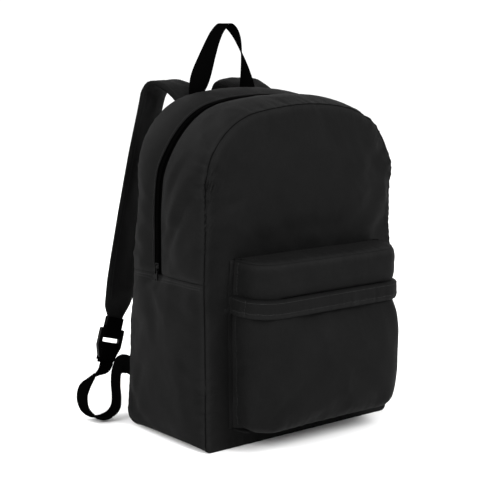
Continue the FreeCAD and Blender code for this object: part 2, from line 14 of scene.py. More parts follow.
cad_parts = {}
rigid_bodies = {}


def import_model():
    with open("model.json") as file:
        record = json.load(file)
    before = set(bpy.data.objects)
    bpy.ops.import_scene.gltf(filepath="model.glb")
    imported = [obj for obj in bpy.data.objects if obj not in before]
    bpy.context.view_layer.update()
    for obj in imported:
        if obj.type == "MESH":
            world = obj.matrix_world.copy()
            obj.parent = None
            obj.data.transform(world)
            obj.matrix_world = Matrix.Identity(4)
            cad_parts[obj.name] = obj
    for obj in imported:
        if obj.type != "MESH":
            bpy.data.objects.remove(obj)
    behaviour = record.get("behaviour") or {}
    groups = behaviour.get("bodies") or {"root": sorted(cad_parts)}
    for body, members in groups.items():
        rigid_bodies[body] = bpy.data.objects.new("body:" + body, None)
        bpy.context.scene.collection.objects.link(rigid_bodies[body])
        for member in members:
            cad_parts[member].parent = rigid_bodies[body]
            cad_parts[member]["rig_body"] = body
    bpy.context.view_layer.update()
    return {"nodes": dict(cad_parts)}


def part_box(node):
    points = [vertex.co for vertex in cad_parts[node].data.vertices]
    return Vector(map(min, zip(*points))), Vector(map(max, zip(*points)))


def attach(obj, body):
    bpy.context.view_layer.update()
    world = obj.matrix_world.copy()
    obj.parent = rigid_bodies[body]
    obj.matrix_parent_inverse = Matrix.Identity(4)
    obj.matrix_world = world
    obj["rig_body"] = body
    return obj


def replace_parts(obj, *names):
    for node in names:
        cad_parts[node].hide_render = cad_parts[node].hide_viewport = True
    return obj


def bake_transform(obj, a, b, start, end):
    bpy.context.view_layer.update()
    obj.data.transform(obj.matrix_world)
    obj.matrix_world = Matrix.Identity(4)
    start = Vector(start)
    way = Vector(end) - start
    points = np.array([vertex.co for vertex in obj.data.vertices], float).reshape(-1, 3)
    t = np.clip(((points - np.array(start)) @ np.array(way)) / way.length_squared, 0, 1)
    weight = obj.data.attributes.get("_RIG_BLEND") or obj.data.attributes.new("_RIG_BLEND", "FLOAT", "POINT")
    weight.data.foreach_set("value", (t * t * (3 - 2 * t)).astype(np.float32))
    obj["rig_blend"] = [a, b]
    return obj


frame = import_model()
MM = 0.001

# ---- sizes, from the frame ----

PANEL_LOW, PANEL_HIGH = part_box("front_panel")
HALF_WIDTH = PANEL_HIGH.x
Y_FRONT = PANEL_LOW.y
MIDDLE = Y_FRONT + 75 * MM                 # the bag's own middle
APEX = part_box("lid_front_panel")[1].z
SEAM_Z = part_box("side_panel_left")[1].z
LID_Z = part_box("lid_front_panel")[0].z
ZIP_HALF = 4.5 * MM
ZIP_SHOWN = 7.2 * MM                       # half the band of tape that shows between the cloth edges
ZIP_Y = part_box("lid_gusset")[1].y + ZIP_HALF
ZIP_TOP_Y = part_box("rear_gusset")[0].y - ZIP_HALF
ZIP_LEAN_Z = (268 * MM, 382 * MM)          # heights between which the zip leans forward
ROOF_SLOPE = 13 / 140
TOP_R = 380 * MM
SHOULDER_R = 95 * MM
CORNER_R = 8 * MM
SHOULDER_X = HALF_WIDTH - SHOULDER_R
TOP_CENTRE = APEX - TOP_R
SHOULDER_Z = TOP_CENTRE + math.sqrt((TOP_R - SHOULDER_R) ** 2 - SHOULDER_X ** 2)
SHOULDER_LEAN = math.atan2(SHOULDER_X, SHOULDER_Z - TOP_CENTRE)
BACK_FOOT_R = 20 * MM
BACK_FOOT_Y = MIDDLE + 90.5 * MM
BACK_LINE_Z = [BACK_FOOT_R, 300 * MM, 460 * MM]
BACK_LINE_Y = [BACK_FOOT_Y, MIDDLE + 62 * MM, MIDDLE + 64.5 * MM]
POCKET_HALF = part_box("pocket_front_panel")[1].x
POCKET_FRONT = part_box("pocket_base")[0].y
POCKET_Z0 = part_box("pocket_base")[0].z
POCKET_Z1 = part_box("pocket_top")[1].z
POCKET_CORNER_R = 28 * MM
POCKET_ZIP_LOW, POCKET_ZIP_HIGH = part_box("pocket_zip_tapes")
POCKET_ZIP_Z = (POCKET_ZIP_LOW.z + POCKET_ZIP_HIGH.z) / 2
POCKET_ZIP_HALF = (POCKET_ZIP_HIGH.z - POCKET_ZIP_LOW.z) / 2
FLAP_LOW, FLAP_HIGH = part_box("pocket_flap")
FLAP_HALF = FLAP_HIGH.x
CLOTH = 1.3 * MM
WEB_HALF = 12.5 * MM
WEB_THICK = 1.6 * MM
GRID = 3.4 * MM
LEFT, RIGHT = -1, 1
SIDE_NAME = {LEFT: "left", RIGHT: "right"}


# ---- small helpers ----

def smooth(t):
    """Runs from 0 to 1 and is level at both ends."""
    t = np.clip(t, 0, 1)
    return t * t * (3 - 2 * t)


def even(points, count):
    """Points spaced evenly along the line through the given ones."""
    points = np.asarray(points, float)
    steps = np.linalg.norm(np.diff(points, axis=0), axis=1)
    reach = np.concatenate([[0], np.cumsum(steps)])
    at = np.linspace(0, reach[-1], count)
    return np.stack([np.interp(at, reach, column) for column in points.T], axis=1)


def spaced(length, step=GRID, ends=(True, True)):
    """Places from 0 to length, closer together beside a seam at either end."""
    fine = np.array([0, 0.8, 1.8, 3.2, 5.2]) * MM
    low = fine if ends[0] else np.array([0.0])
    high = length - fine[::-1] if ends[1] else np.array([length])
    count = max(2, round((high[0] - low[-1]) / step) + 1)
    middle = np.linspace(low[-1], high[0], count)
    return np.concatenate([low[:-1], middle, high[1:]])


def normals_of(grid):
    """Unit normals of a grid of points, on the side that its faces look to."""
    across = np.gradient(grid, axis=1)
    along = np.gradient(grid, axis=0)
    cross = np.cross(across, along)
    return cross / np.maximum(np.linalg.norm(cross, axis=2, keepdims=True), 1e-12)


def blur(field, times=1):
    """Softens a field on a grid and leaves its rim alone."""
    for _ in range(times):
        inner = (field[:-2, 1:-1] + field[2:, 1:-1] + field[1:-1, :-2] + field[1:-1, 2:]) / 4
        field = field.copy()
        field[1:-1, 1:-1] = (field[1:-1, 1:-1] + inner) / 2
    return field


def resample(field, rows, columns):
    """A field known on an even grid, read at rows and columns that run from 0 to 1."""
    row_at = np.linspace(0, 1, field.shape[0])
    column_at = np.linspace(0, 1, field.shape[1])
    wide = np.stack([[np.interp(columns, column_at, line[:, k]) for k in range(3)] for line in field])
    tall = np.stack([[np.interp(rows, row_at, wide[:, k, i]) for i in range(len(columns))] for k in range(3)])
    return np.transpose(tall, (2, 1, 0))


def noise_at(points, size, seed=0.0):
    """Smooth noise from -1 to 1 whose lumps are about this size."""
    flat = points.reshape(-1, points.shape[-1]) / size + seed
    return np.array([noise.noise(p) for p in flat]).reshape(points.shape[:-1])


def link(name, vertices, faces):
    """A new object with this mesh, in the scene."""
    mesh = bpy.data.meshes.new(name)
    mesh.from_pydata([tuple(v) for v in vertices], [], faces)
    piece = bpy.data.objects.new(name, mesh)
    bpy.context.scene.collection.objects.link(piece)
    return piece


def grid_faces(rows, columns):
    """The four-sided faces between a grid's points."""
    faces = []
    for r in range(rows - 1):
        for c in range(columns - 1):
            corner = r * columns + c
            faces.append((corner, corner + 1, corner + columns + 1, corner + columns))
    return faces


def set_attribute(piece, name, kind, values):
    """Stores one value for each point of the mesh."""
    attribute = piece.data.attributes.new(name, kind, "POINT")
    field = "vector" if kind == "FLOAT_VECTOR" else "value"
    attribute.data.foreach_set(field, np.asarray(values, np.float32).ravel())


def shade_smooth(piece):
    piece.data.polygons.foreach_set("use_smooth", [True] * len(piece.data.polygons))


def bake_modifiers(piece):
    """Applies a piece's modifiers to its mesh."""
    graph = bpy.context.evaluated_depsgraph_get()
    mesh = bpy.data.meshes.new_from_object(piece.evaluated_get(graph), depsgraph=graph)
    piece.modifiers.clear()
    piece.data = mesh


# ---- materials ----

class Nodes:
    """A short way to write a shader's nodes."""

    def __init__(self, name):
        self.material = bpy.data.materials.new(name)
        self.material.use_nodes = True
        self.tree = self.material.node_tree
        self.shader = self.tree.nodes["Principled BSDF"]

    def add(self, kind, inputs=(), **settings):
        node = self.tree.nodes.new("ShaderNode" + kind)
        for key, value in settings.items():
            setattr(node, key, value)
        for key, value in dict(inputs).items():
            if isinstance(value, bpy.types.NodeSocket):
                self.tree.links.new(value, node.inputs[key])
            else:
                node.inputs[key].default_value = value
        return node

    def math(self, operation, a, b=0.0):
        return self.add("Math", {0: a, 1: b}, operation=operation).outputs[0]

    def wave(self, vector, direction, period):
        """Bands that repeat each period, in metres."""
        scale = 2 * math.pi / (20 * period)
        inputs = {"Vector": vector, "Scale": scale, "Distortion": 0.0}
        return self.add("TexWave", inputs, bands_direction=direction, wave_profile="SIN").outputs["Fac"]

    def noise(self, vector, scale, detail=3.0):
        return self.add("TexNoise", {"Vector": vector, "Scale": scale, "Detail": detail}).outputs["Fac"]

    def attribute(self, name):
        return self.add("Attribute", attribute_name=name)

    def ramp(self, factor, *stops):
        node = self.add("ValToRGB", {"Fac": factor})
        elements = node.color_ramp.elements
        while len(elements) < len(stops):
            elements.new(0.5)
        for element, (position, colour) in zip(elements, stops):
            element.position = position
            element.color = (*colour, 1.0)
        return node.outputs["Color"]

    def set(self, **values):
        for key, value in values.items():
            socket = self.shader.inputs[key.replace("_", " ")]
            if isinstance(value, bpy.types.NodeSocket):
                self.tree.links.new(value, socket)
            else:
                socket.default_value = value

    def bump(self, height, strength, distance):
        inputs = {"Height": height, "Strength": strength, "Distance": distance}
        self.set(Normal=self.add("Bump", inputs).outputs["Normal"])


def grey(value, warm=0.0):
    """A grey, with more red and less blue when it is warm."""
    return (value * (1 + warm), value, value * (1 - warm))


def cloth_material(name, shade, yarn, relief, roughness, sheen, shine):
    """Plain-weave polyester: two sets of yarns, slubs, soft mottling and paler worn seams."""
    n = Nodes(name)
    flat = n.attribute("cloth").outputs["Vector"]
    place = n.add("TexCoord").outputs["Object"]
    warp = n.wave(flat, "X", yarn)
    weft = n.wave(flat, "Y", yarn * 1.15)
    weave = n.math("MAXIMUM", warp, weft)
    stretched = n.add("Mapping", {"Vector": flat, "Scale": (900.0, 60.0, 60.0)}).outputs["Vector"]
    slub = n.noise(stretched, 1.0, 2.0)
    mottle = n.noise(place, 26.0, 4.0)
    grain = n.noise(flat, 1400.0, 1.0)
    wear = n.attribute("wear").outputs["Fac"]
    tone = n.math("ADD", n.math("MULTIPLY", mottle, 0.45), n.math("MULTIPLY", slub, 0.3))
    tone = n.math("ADD", tone, n.math("MULTIPLY", weave, 0.25))
    scuffed = n.math("MULTIPLY", n.math("MULTIPLY", wear, grain), 0.5)
    tone = n.math("ADD", tone, scuffed)
    colour = n.ramp(tone, (0.2, grey(shade * 0.72)), (0.62, grey(shade * 1.12)), (1.0, grey(shade * 1.9)))
    rough = n.math("ADD", n.math("MULTIPLY", mottle, 0.12), roughness - 0.06)
    n.set(Base_Color=colour, Roughness=rough, Sheen_Weight=sheen, Sheen_Roughness=0.45)
    n.set(Specular_IOR_Level=shine)
    height = n.math("ADD", weave, n.math("MULTIPLY", slub, 0.6))
    n.bump(height, 0.55, relief)
    return n.material


def webbing_material(name, shade):
    """Ribbed webbing: a herringbone of ribs along its length and a firm edge."""
    n = Nodes(name)
    flat = n.attribute("cloth").outputs["Vector"]
    ribs = n.wave(flat, "X", 1.9 * MM)
    picks = n.wave(flat, "DIAGONAL", 1.3 * MM)
    fuzz = n.noise(flat, 900.0, 2.0)
    height = n.math("ADD", ribs, n.math("MULTIPLY", picks, 0.7))
    tone = n.math("ADD", n.math("MULTIPLY", height, 0.35), n.math("MULTIPLY", fuzz, 0.4))
    colour = n.ramp(tone, (0.15, grey(shade * 0.5)), (0.75, grey(shade)), (1.0, grey(shade * 1.8)))
    n.set(Base_Color=colour, Roughness=n.math("ADD", n.math("MULTIPLY", fuzz, 0.2), 0.5))
    n.set(Specular_IOR_Level=0.0)
    n.bump(height, 0.6, 0.35 * MM)
    return n.material


def thread_material(name, shade):
    """Twisted sewing thread."""
    n = Nodes(name)
    place = n.add("TexCoord").outputs["Object"]
    twist = n.wave(place, "DIAGONAL", 0.9 * MM)
    fuzz = n.noise(place, 1500.0, 2.0)
    tone = n.math("ADD", n.math("MULTIPLY", twist, 0.5), n.math("MULTIPLY", fuzz, 0.5))
    n.set(Base_Color=n.ramp(tone, (0.2, grey(shade * 0.6)), (0.8, grey(shade * 1.3))), Roughness=0.6)
    n.set(Specular_IOR_Level=0.05)
    n.bump(twist, 0.4, 0.1 * MM)
    return n.material


def plastic_material(name, shade, roughness, shine):
    """Moulded plastic: a fine spark-eroded grain and faint handling marks."""
    n = Nodes(name)
    place = n.add("TexCoord").outputs["Object"]
    grain = n.noise(place, 2600.0, 2.0)
    marks = n.noise(place, 60.0, 5.0)
    n.set(Base_Color=n.ramp(marks, (0.3, grey(shade * 0.8)), (0.8, grey(shade * 1.3))))
    n.set(Roughness=n.math("ADD", n.math("MULTIPLY", marks, 0.25), roughness - 0.1))
    n.set(Specular_IOR_Level=shine)
    n.bump(grain, 0.25, 0.08 * MM)
    return n.material


def enamel_material(name, shade):
    """Black enamel over a die casting, rubbed to a warmer grey in places."""
    n = Nodes(name)
    place = n.add("TexCoord").outputs["Object"]
    rubbed = n.noise(place, 420.0, 4.0)
    pitted = n.noise(place, 1800.0, 2.0)
    n.set(Base_Color=n.ramp(rubbed, (0.55, grey(shade)), (0.78, grey(shade * 5, 0.05))))
    rough = n.math("ADD", n.math("MULTIPLY", pitted, 0.25), 0.35)
    n.set(Specular_IOR_Level=0.04, Roughness=rough)
    n.bump(pitted, 0.2, 0.05 * MM)
    return n.material


def floor_material():
    n = Nodes("floor_paper")
    place = n.add("TexCoord").outputs["Object"]
    fibre = n.noise(place, 40.0, 4.0)
    n.set(Base_Color=n.ramp(fibre, (0.3, grey(0.93)), (0.7, grey(0.95))), Roughness=0.95)
    n.set(Specular_IOR_Level=0.1)
    return n.material


BAG_CLOTH = cloth_material("bag_polyester", 0.0044, 1.3 * MM, 0.32 * MM, 0.62, 0.004, 0.02)
STRAP_CLOTH = cloth_material("strap_polyester", 0.0042, 1.3 * MM, 0.32 * MM, 0.64, 0.004, 0.02)
LINING_CLOTH = cloth_material("lining_polyester", 0.008, 0.9 * MM, 0.15 * MM, 0.60, 0.01, 0.04)
TAPE_CLOTH = cloth_material("zip_tape_twill", 0.0004, 0.8 * MM, 0.15 * MM, 0.8, 0.0, 0.002)
BINDING_CLOTH = cloth_material("binding_grosgrain", 0.0036, 1.0 * MM, 0.3 * MM, 0.65, 0.005, 0.02)
# A near-black cord along each seam: painted shade standing in for the shadow in the seam's groove.
SEAM_SHADE_CORD = cloth_material("seam_painted_shade", 0.0016, 0.8 * MM, 0.2 * MM, 0.8, 0.0, 0.01)
WEBBING = webbing_material("ribbed_webbing", 0.0011)
THREAD = thread_material("black_thread", 0.016)
COIL = plastic_material("nylon_coil", 0.0004, 0.6, 0.004)
BUCKLE = plastic_material("acetal_buckle", 0.0012, 0.38, 0.06)
ENAMEL = enamel_material("black_enamel", 0.0007)


# ---- pieces that cross a joint ----

BLENDS = {}


def blend(piece, body_a, body_b, start, end):
    BLENDS[piece.name] = (start, end)
    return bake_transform(piece, body_a, body_b, start=start, end=end)


def follow(row, piece):
    """Rides or blends a row of stitches just as the cloth under it does."""
    if "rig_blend" not in piece:
        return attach(row, piece["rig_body"])
    body_a, body_b = piece["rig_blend"]
    start, end = BLENDS[piece.name]
    return blend(row, body_a, body_b, start, end)


def blend_lid(piece):
    """The front half of the arch leaves the bag a little above the zip's lower ends."""
    start = (0, Y_FRONT, LID_Z - 22 * MM)
    end = (0, Y_FRONT, LID_Z + 40 * MM)
    return blend(piece, "bag", "lid", start, end)


def blend_strap(piece, side):
    """A strap leaves the back seam over its first centimetres."""
    x = side * 55 * MM
    low, high = MIDDLE + 66.5 * MM, MIDDLE + 84 * MM
    return blend(piece, "bag", "strap_" + SIDE_NAME[side], (x, low, 0.415), (x, high, 0.415))


# ---- cloth that is puffed and gathered ----

FOLD_SHARE = 1.15                         # how deep the bag's own creases are drawn
PUFF_FRAMES = 18
PUFF_STEP = 6 * MM                         # spacing of the simulated cloth's points


def cloth_lift(grid, held, pressure, slack, cap):
    """How far a slightly slack sheet stands off its grid when it is puffed from behind and held
    fast at some points. The simulation is applied to a copy, which is then removed."""
    rows, columns = held.shape
    sheet = link("puffed", grid.reshape(-1, 3), grid_faces(rows, columns))
    group = sheet.vertex_groups.new(name="held")
    for weight in (0.35, 1.0):
        near = np.nonzero(np.isclose(held.ravel(), weight))[0]
        group.add([int(i) for i in near], weight, "REPLACE")
    settings = sheet.modifiers.new("cloth", "CLOTH").settings
    settings.quality = 5
    settings.mass = 0.2
    settings.tension_stiffness = 20
    settings.compression_stiffness = 20
    settings.shear_stiffness = 8
    settings.bending_stiffness = 1.5
    settings.air_damping = 2
    settings.vertex_group_mass = "held"
    settings.use_pressure = True
    settings.uniform_pressure_force = pressure
    settings.shrink_min = -slack
    settings.effector_weights.gravity = 0
    scene = bpy.context.scene
    for number in range(1, PUFF_FRAMES + 1):
        scene.frame_set(number)
    graph = bpy.context.evaluated_depsgraph_get()
    result = sheet.evaluated_get(graph).to_mesh()
    moved = np.zeros(rows * columns * 3, np.float32)
    result.vertices.foreach_get("co", moved)
    scene.frame_set(1)
    bpy.data.objects.remove(sheet)
    lift = moved.reshape(rows, columns, 3) - grid
    far = np.linalg.norm(lift, axis=2, keepdims=True)
    return lift * np.minimum(1, cap / np.maximum(far, 1e-9))


def zip_calm(points):
    """1 in most places and small beside the runs of the two sliders, where the cloth is held flat."""
    x, y, z = (points[..., k:k + 1] for k in range(3))
    pocket_run = smooth((POCKET_FRONT + 34 * MM - y) / (10 * MM))
    pocket_run = pocket_run * smooth((26 * MM - np.abs(z - POCKET_ZIP_Z)) / (10 * MM))
    main_run = smooth((np.abs(x) - HALF_WIDTH + 14 * MM) / (6 * MM))
    main_run = main_run * smooth((18 * MM - np.abs(y - zip_line(z))) / (8 * MM))
    main_run = main_run * smooth((305 * MM - z) / (20 * MM)) * smooth((z - 190 * MM) / (15 * MM))
    return 1 - 0.9 * np.maximum(pocket_run, main_run)


def crumple(points):
    """Drift and soft creases that the whole bag shares, so that no seam stays ruler-straight and
    pieces sewn together move together."""
    calm = smooth((points[..., 2:3] - 4 * MM) / (60 * MM)) * zip_calm(points)
    drift = np.stack([noise_at(points, 0.11, seed) for seed in (3.1, 17.4, 41.9)], axis=2)
    worked = smooth(0.5 + 1.6 * noise_at(points, 0.09, 5.0))
    folds = 1 - 2 * np.abs(noise_at(points * np.array([1.0, 1.0, 0.7]), 0.046, 29.0))
    dents = 1 - 2 * np.abs(noise_at(points, 0.021, 61.0))
    depth = (1.5 * folds + 0.55 * dents) * worked
    across = np.array([0.9, 1.0, 0.3]) * depth[..., None]
    outwards = np.where(points < np.array([0.0, MIDDLE, 0.0]), -1.0, 1.0)
    return (drift * np.array([1.6, 1.3, 1.1]) + across * outwards * FOLD_SHARE) * MM * calm


def shoulder_pucker(z):
    """More cloth is gathered where the seam turns over the shoulders."""
    return 1 + 1.6 * np.exp(-(((z - 338 * MM) / (30 * MM)) ** 2))


def gathers(run, distance, depth=1.0, seed=0.0):
    """Small puckers across a seam, from the place along it and the distance from it: deepest near
    the seam, uneven, and gone a few centimetres away."""
    distance = np.maximum(distance, 0)
    place = np.stack([run, np.zeros_like(run), np.zeros_like(run)], axis=-1)
    strength = np.clip(0.45 + 0.9 * noise_at(place, 0.085, seed), 0, 1.2)
    bend = 2.2 * noise_at(place, 0.05, seed + 9)
    ripple = np.sin(2 * math.pi * run / (15 * MM) + 3 * bend)
    ripple += 0.6 * np.sin(2 * math.pi * run / (8.5 * MM) + bend)
    fade = np.exp(-((distance / (15 * MM)) ** 1.5)) * smooth(distance / (3 * MM))
    return depth * 0.75 * MM * strength * ripple * fade


def groove(distance, depth=1.3, width=3.6):
    """The valley in which a seam lies."""
    return -depth * MM * np.clip(1 - distance / (width * MM), 0, 1) ** 1.6


def wear_of(distance):
    """Paler cloth just beside a seam, where it rubs."""
    return np.exp(-((distance - 3 * MM) / (4 * MM)) ** 2)


# ---- the bag's outline, as (x, z) lines ----

def arc_points(x, z, radius, start, end, count=16):
    """Points round a centre, with angles measured from straight up towards +X."""
    angles = np.linspace(start, end, count)
    return [(x + radius * math.sin(a), z + radius * math.cos(a)) for a in angles]


def arch_line():
    """From the left end of the side seam over the top to the right one."""
    quarter = math.pi / 2
    left = arc_points(-SHOULDER_X, SHOULDER_Z, SHOULDER_R, -quarter, -SHOULDER_LEAN)
    top = arc_points(0, TOP_CENTRE, TOP_R, -SHOULDER_LEAN, SHOULDER_LEAN)
    right = arc_points(SHOULDER_X, SHOULDER_Z, SHOULDER_R, SHOULDER_LEAN, quarter)
    return [(-HALF_WIDTH, SEAM_Z)] + left + top[1:-1] + right + [(HALF_WIDTH, SEAM_Z)]


def base_line():
    """Under the bag, from right to left, round both bottom corners."""
    quarter = math.pi / 2
    x = HALF_WIDTH - CORNER_R
    right = arc_points(x, CORNER_R, CORNER_R, quarter, 2 * quarter, 6)
    left = arc_points(-x, CORNER_R, CORNER_R, 2 * quarter, 3 * quarter, 6)
    return right + left


def side_line(side):
    """Up the left side, or down the right one."""
    line = [(side * HALF_WIDTH, CORNER_R), (side * HALF_WIDTH, SEAM_Z)]
    return line if side == LEFT else line[::-1]


def length_of(line):
    """The length of the line through these points."""
    return float(np.linalg.norm(np.diff(np.array(line), axis=0), axis=1).sum())


SIDE_RUN = SEAM_Z - CORNER_R
ARCH_RUN = length_of(arch_line())
BASE_RUN = length_of(base_line())
SEAM_LINE = even(side_line(LEFT) + arch_line()[1:] + side_line(RIGHT)[1:] + base_line()[1:], 700)
SEAM_RUN = np.linspace(0, 2 * SIDE_RUN + ARCH_RUN + BASE_RUN, len(SEAM_LINE))


def seam_distance(x, z):
    """Distance to the front seam, and how far along it the nearest point lies."""
    points = np.stack([x.ravel(), z.ravel()], axis=1)
    distance = np.empty(len(points))
    run = np.empty(len(points))
    for i, point in enumerate(points):
        square = ((SEAM_LINE - point) ** 2).sum(axis=1)
        nearest = int(square.argmin())
        distance[i] = math.sqrt(square[nearest])
        run[i] = SEAM_RUN[nearest]
    return distance.reshape(x.shape), run.reshape(x.shape)


def top_height(x):
    """Height of the bag's outline at this distance to the side."""
    x = np.minimum(np.abs(x), HALF_WIDTH)
    joint = SHOULDER_X + SHOULDER_R * math.sin(SHOULDER_LEAN)
    round_top = TOP_CENTRE + np.sqrt(TOP_R**2 - x**2)
    shoulder = SHOULDER_Z + np.sqrt(np.maximum(SHOULDER_R**2 - (x - SHOULDER_X) ** 2, 0))
    return np.where(x < joint, round_top, shoulder)


def foot_height(x):
    """How far the rounded lower corners stand above the floor."""
    past = np.clip(np.abs(x) - (HALF_WIDTH - CORNER_R), 0, CORNER_R)
    return CORNER_R - np.sqrt(CORNER_R**2 - past**2)


def rise(z, y):
    """The roof climbs towards the back."""
    return ROOF_SLOPE * (y - Y_FRONT) * smooth((z - SEAM_Z) / (SHOULDER_Z - SEAM_Z))


def back_edge(z):
    """Where the leaning back is at height z."""
    line = np.interp(z, BACK_LINE_Z, BACK_LINE_Y)
    low = BACK_FOOT_R - np.clip(z, 0, BACK_FOOT_R)
    foot = BACK_FOOT_Y - BACK_FOOT_R + np.sqrt(BACK_FOOT_R**2 - low**2)
    return np.where(z < BACK_FOOT_R, foot, line)


def zip_line(z):
    """The depth of the main zip at height z: upright at the sides, forward over the shoulders."""
    low, high = ZIP_LEAN_Z
    return ZIP_Y + (ZIP_TOP_Y - ZIP_Y) * smooth((z - low) / (high - low))


def off_zip(z, y):
    """Distance from the edge of the zip's band."""
    return np.maximum(np.abs(y - zip_line(z)) - ZIP_SHOWN, 0)


def at_front(z):
    """Where the front seam is, at each height."""
    return np.full_like(z, Y_FRONT)


def at_back(z):
    """Where the back seam is, at each height."""
    return back_edge(z + rise(z, BACK_FOOT_Y))


def beside_zip(offset):
    """A line of the gusset at this distance behind the zip's middle."""
    return lambda z: zip_line(z) + offset


def swell(distance, reach):
    """From 0 at a seam to 1 at this distance from it, as stuffed cloth rises."""
    return 1 - np.clip(1 - distance / reach, 0, 1) ** 2.2


def panel_bulge(x, z):
    """How far the front panel stands forward of its seam: most above the pocket."""
    distance, _ = seam_distance(x, z)
    above = smooth((z - POCKET_Z1 + 60 * MM) / (120 * MM))
    return (4.0 + 7.0 * above) * MM * swell(distance, 75 * MM)


def creases(across, up, folds):
    """Soft folds: each is (across, up, angle, length, width, depth) in millimetres and degrees."""
    total = np.zeros_like(across)
    for a, u, angle, length, width, depth in folds:
        turn = math.radians(angle)
        along = (across - a * MM) * math.cos(turn) + (up - u * MM) * math.sin(turn)
        off = (up - u * MM) * math.cos(turn) - (across - a * MM) * math.sin(turn)
        off = off + 0.12 * along**2 / (length * MM)
        reach = np.exp(-((along / (length * MM / 2)) ** 2))
        valley = -np.exp(-((off / (width * MM)) ** 2))
        ridge = 0.6 * np.exp(-((off / (width * MM) - 1.7) ** 2))
        total += depth * MM * reach * (valley + ridge)
    return total


# ---- panels ----

def cloth_piece(name, grid, flat, wear, material, thickness=CLOTH):
    """A grid of points as a sheet of cloth with a thickness, shaded smooth but for its sharpest bends."""
    rows, columns = grid.shape[:2]
    piece = link(name, grid.reshape(-1, 3), grid_faces(rows, columns))
    set_attribute(piece, "cloth", "FLOAT_VECTOR", flat)
    set_attribute(piece, "wear", "FLOAT", wear)
    piece.data.materials.append(material)
    thick = piece.modifiers.new("thickness", "SOLIDIFY")
    thick.thickness = thickness
    thick.offset = -1
    bake_modifiers(piece)
    shade_smooth(piece)
    piece.data.set_sharp_from_angle(angle=math.radians(50))
    return piece


def flat_measures(grid):
    """Each point's place in the flat cloth: along its row, and up its column."""
    across = np.linalg.norm(np.diff(grid, axis=1), axis=2)
    along = np.linalg.norm(np.diff(grid, axis=0), axis=2)
    u = np.pad(np.cumsum(across, axis=1), ((0, 0), (1, 0)))
    v = np.pad(np.cumsum(along, axis=0), ((1, 0), (0, 0)))
    u = u - u[:, u.shape[1] // 2][:, None]
    return np.stack([u, v, np.zeros_like(u)], axis=2)


def puffed(shape, height, width, held, pressure=3.0, slack=0.012, cap=7 * MM):
    """The lift of a panel from its simulation, as a function of rows and columns from 0 to 1.
    held(rows, columns) is 1 where the cloth is sewn fast and 0 where it is free."""
    rows = np.linspace(0, 1, max(8, round(height / PUFF_STEP)) + 1)
    columns = np.linspace(0, 1, max(8, round(width / PUFF_STEP)) + 1)
    grid = shape(rows, columns)
    lift = cloth_lift(grid, held(rows, columns), pressure, slack, cap)
    lift = blur(lift, 1)
    return lambda r, c: blur(resample(lift, r, c), 2)


def edges_held(rows, columns):
    """Holds the four edges of the cloth and frees the rest."""
    held = np.zeros((len(rows), len(columns)))
    held[[0, -1], :] = 1.0
    held[:, [0, -1]] = 1.0
    return held


def front_shape(rows, columns):
    """The flat front, from its foot up to the arch."""
    x = np.tile((2 * columns - 1) * HALF_WIDTH, (len(rows), 1))
    foot = foot_height(x)
    z = foot + (top_height(x) - foot) * rows[:, None]
    return np.stack([x, Y_FRONT - panel_bulge(x, z), z], axis=2)


def front_panel():
    """The whole front of the arch, which folds forward above the pocket when the zip is open."""
    def held(rows, columns):
        fast = edges_held(rows, columns)
        low = rows * APEX < POCKET_Z1 + 5 * MM
        near = np.abs(2 * columns - 1) * HALF_WIDTH < POCKET_HALF + FLANGE + 5 * MM
        fast[np.ix_(low, near)] = 1.0
        return fast

    lift = puffed(front_shape, APEX, 2 * HALF_WIDTH, held, pressure=2.2, slack=0.014)
    rows = spaced(APEX) / APEX
    columns = spaced(2 * HALF_WIDTH) / (2 * HALF_WIDTH)
    grid = front_shape(rows, columns) + lift(rows, columns)
    x, z = grid[..., 0], grid[..., 2]
    distance, run = seam_distance(x, z)
    flat = flat_measures(grid)
    stand = gathers(run, distance, 1.5) * shoulder_pucker(z) + groove(distance)
    stand += creases(x, z, [
        (-118, 300, 20, 70, 7, 1.6),
        (-120, 262, -28, 60, 6, 1.2),
        (-105, 352, 50, 60, 7, 1.5),
        (40, 372, -70, 60, 9, 1.6),
        (62, 368, -60, 50, 7, 1.2),
        (-60, 376, 68, 46, 7, 1.2),
        (112, 330, -48, 70, 8, 1.8),
        (128, 250, 12, 60, 8, 1.2),
        (0, 262, 4, 170, 12, 1.2),
    ])
    grid = grid + normals_of(grid) * stand[..., None]
    grid = grid + crumple(grid)
    piece = cloth_piece("front_cloth", grid, flat, wear_of(distance), BAG_CLOTH)
    rim_trims("front", grid, blend_lid(piece), 1, "front_seam_binding", "lid_seam_binding")
    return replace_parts(piece, "front_panel", "lid_front_panel")


def rim_trim(name, grid, piece, half, thick, shift, material):
    """A tape or roll all round a panel's rim, moved inwards and in depth by shift."""
    rim = np.concatenate([grid[:-1, 0], grid[-1, :-1], grid[:0:-1, -1], grid[0, :0:-1]])
    rim = even(np.vstack([rim, rim[:1]]), 900)[:-1]
    way = np.roll(rim, -1, axis=0) - np.roll(rim, 1, axis=0)
    inward = np.cross(way, np.array([0.0, 1.0, 0.0]))
    inward /= np.linalg.norm(inward, axis=1, keepdims=True)
    inward *= np.sign(((rim.mean(axis=0) - rim) * inward).sum())
    centre = rim + inward * shift[0] + np.array([0.0, shift[1], 0.0])
    angles = np.linspace(0, 2 * math.pi, 10, endpoint=False)
    across = np.sign(np.cos(angles)) * np.abs(np.cos(angles)) ** 0.6 * half
    ring = centre[:, None] + inward[:, None] * across[None, :, None]
    ring[..., 1] += np.sin(angles)[None, :] * thick
    ring = np.concatenate([ring, ring[:1]])
    ring[..., 2] = np.maximum(ring[..., 2], 0.1 * MM)
    flats = np.zeros_like(ring)
    flats[..., 0] = across[None, :]
    flats[..., 1] = np.linspace(0, length_of(rim), len(ring))[:, None]
    return follow(tube_piece(name, ring, flats, material, closed_ends=False), piece)


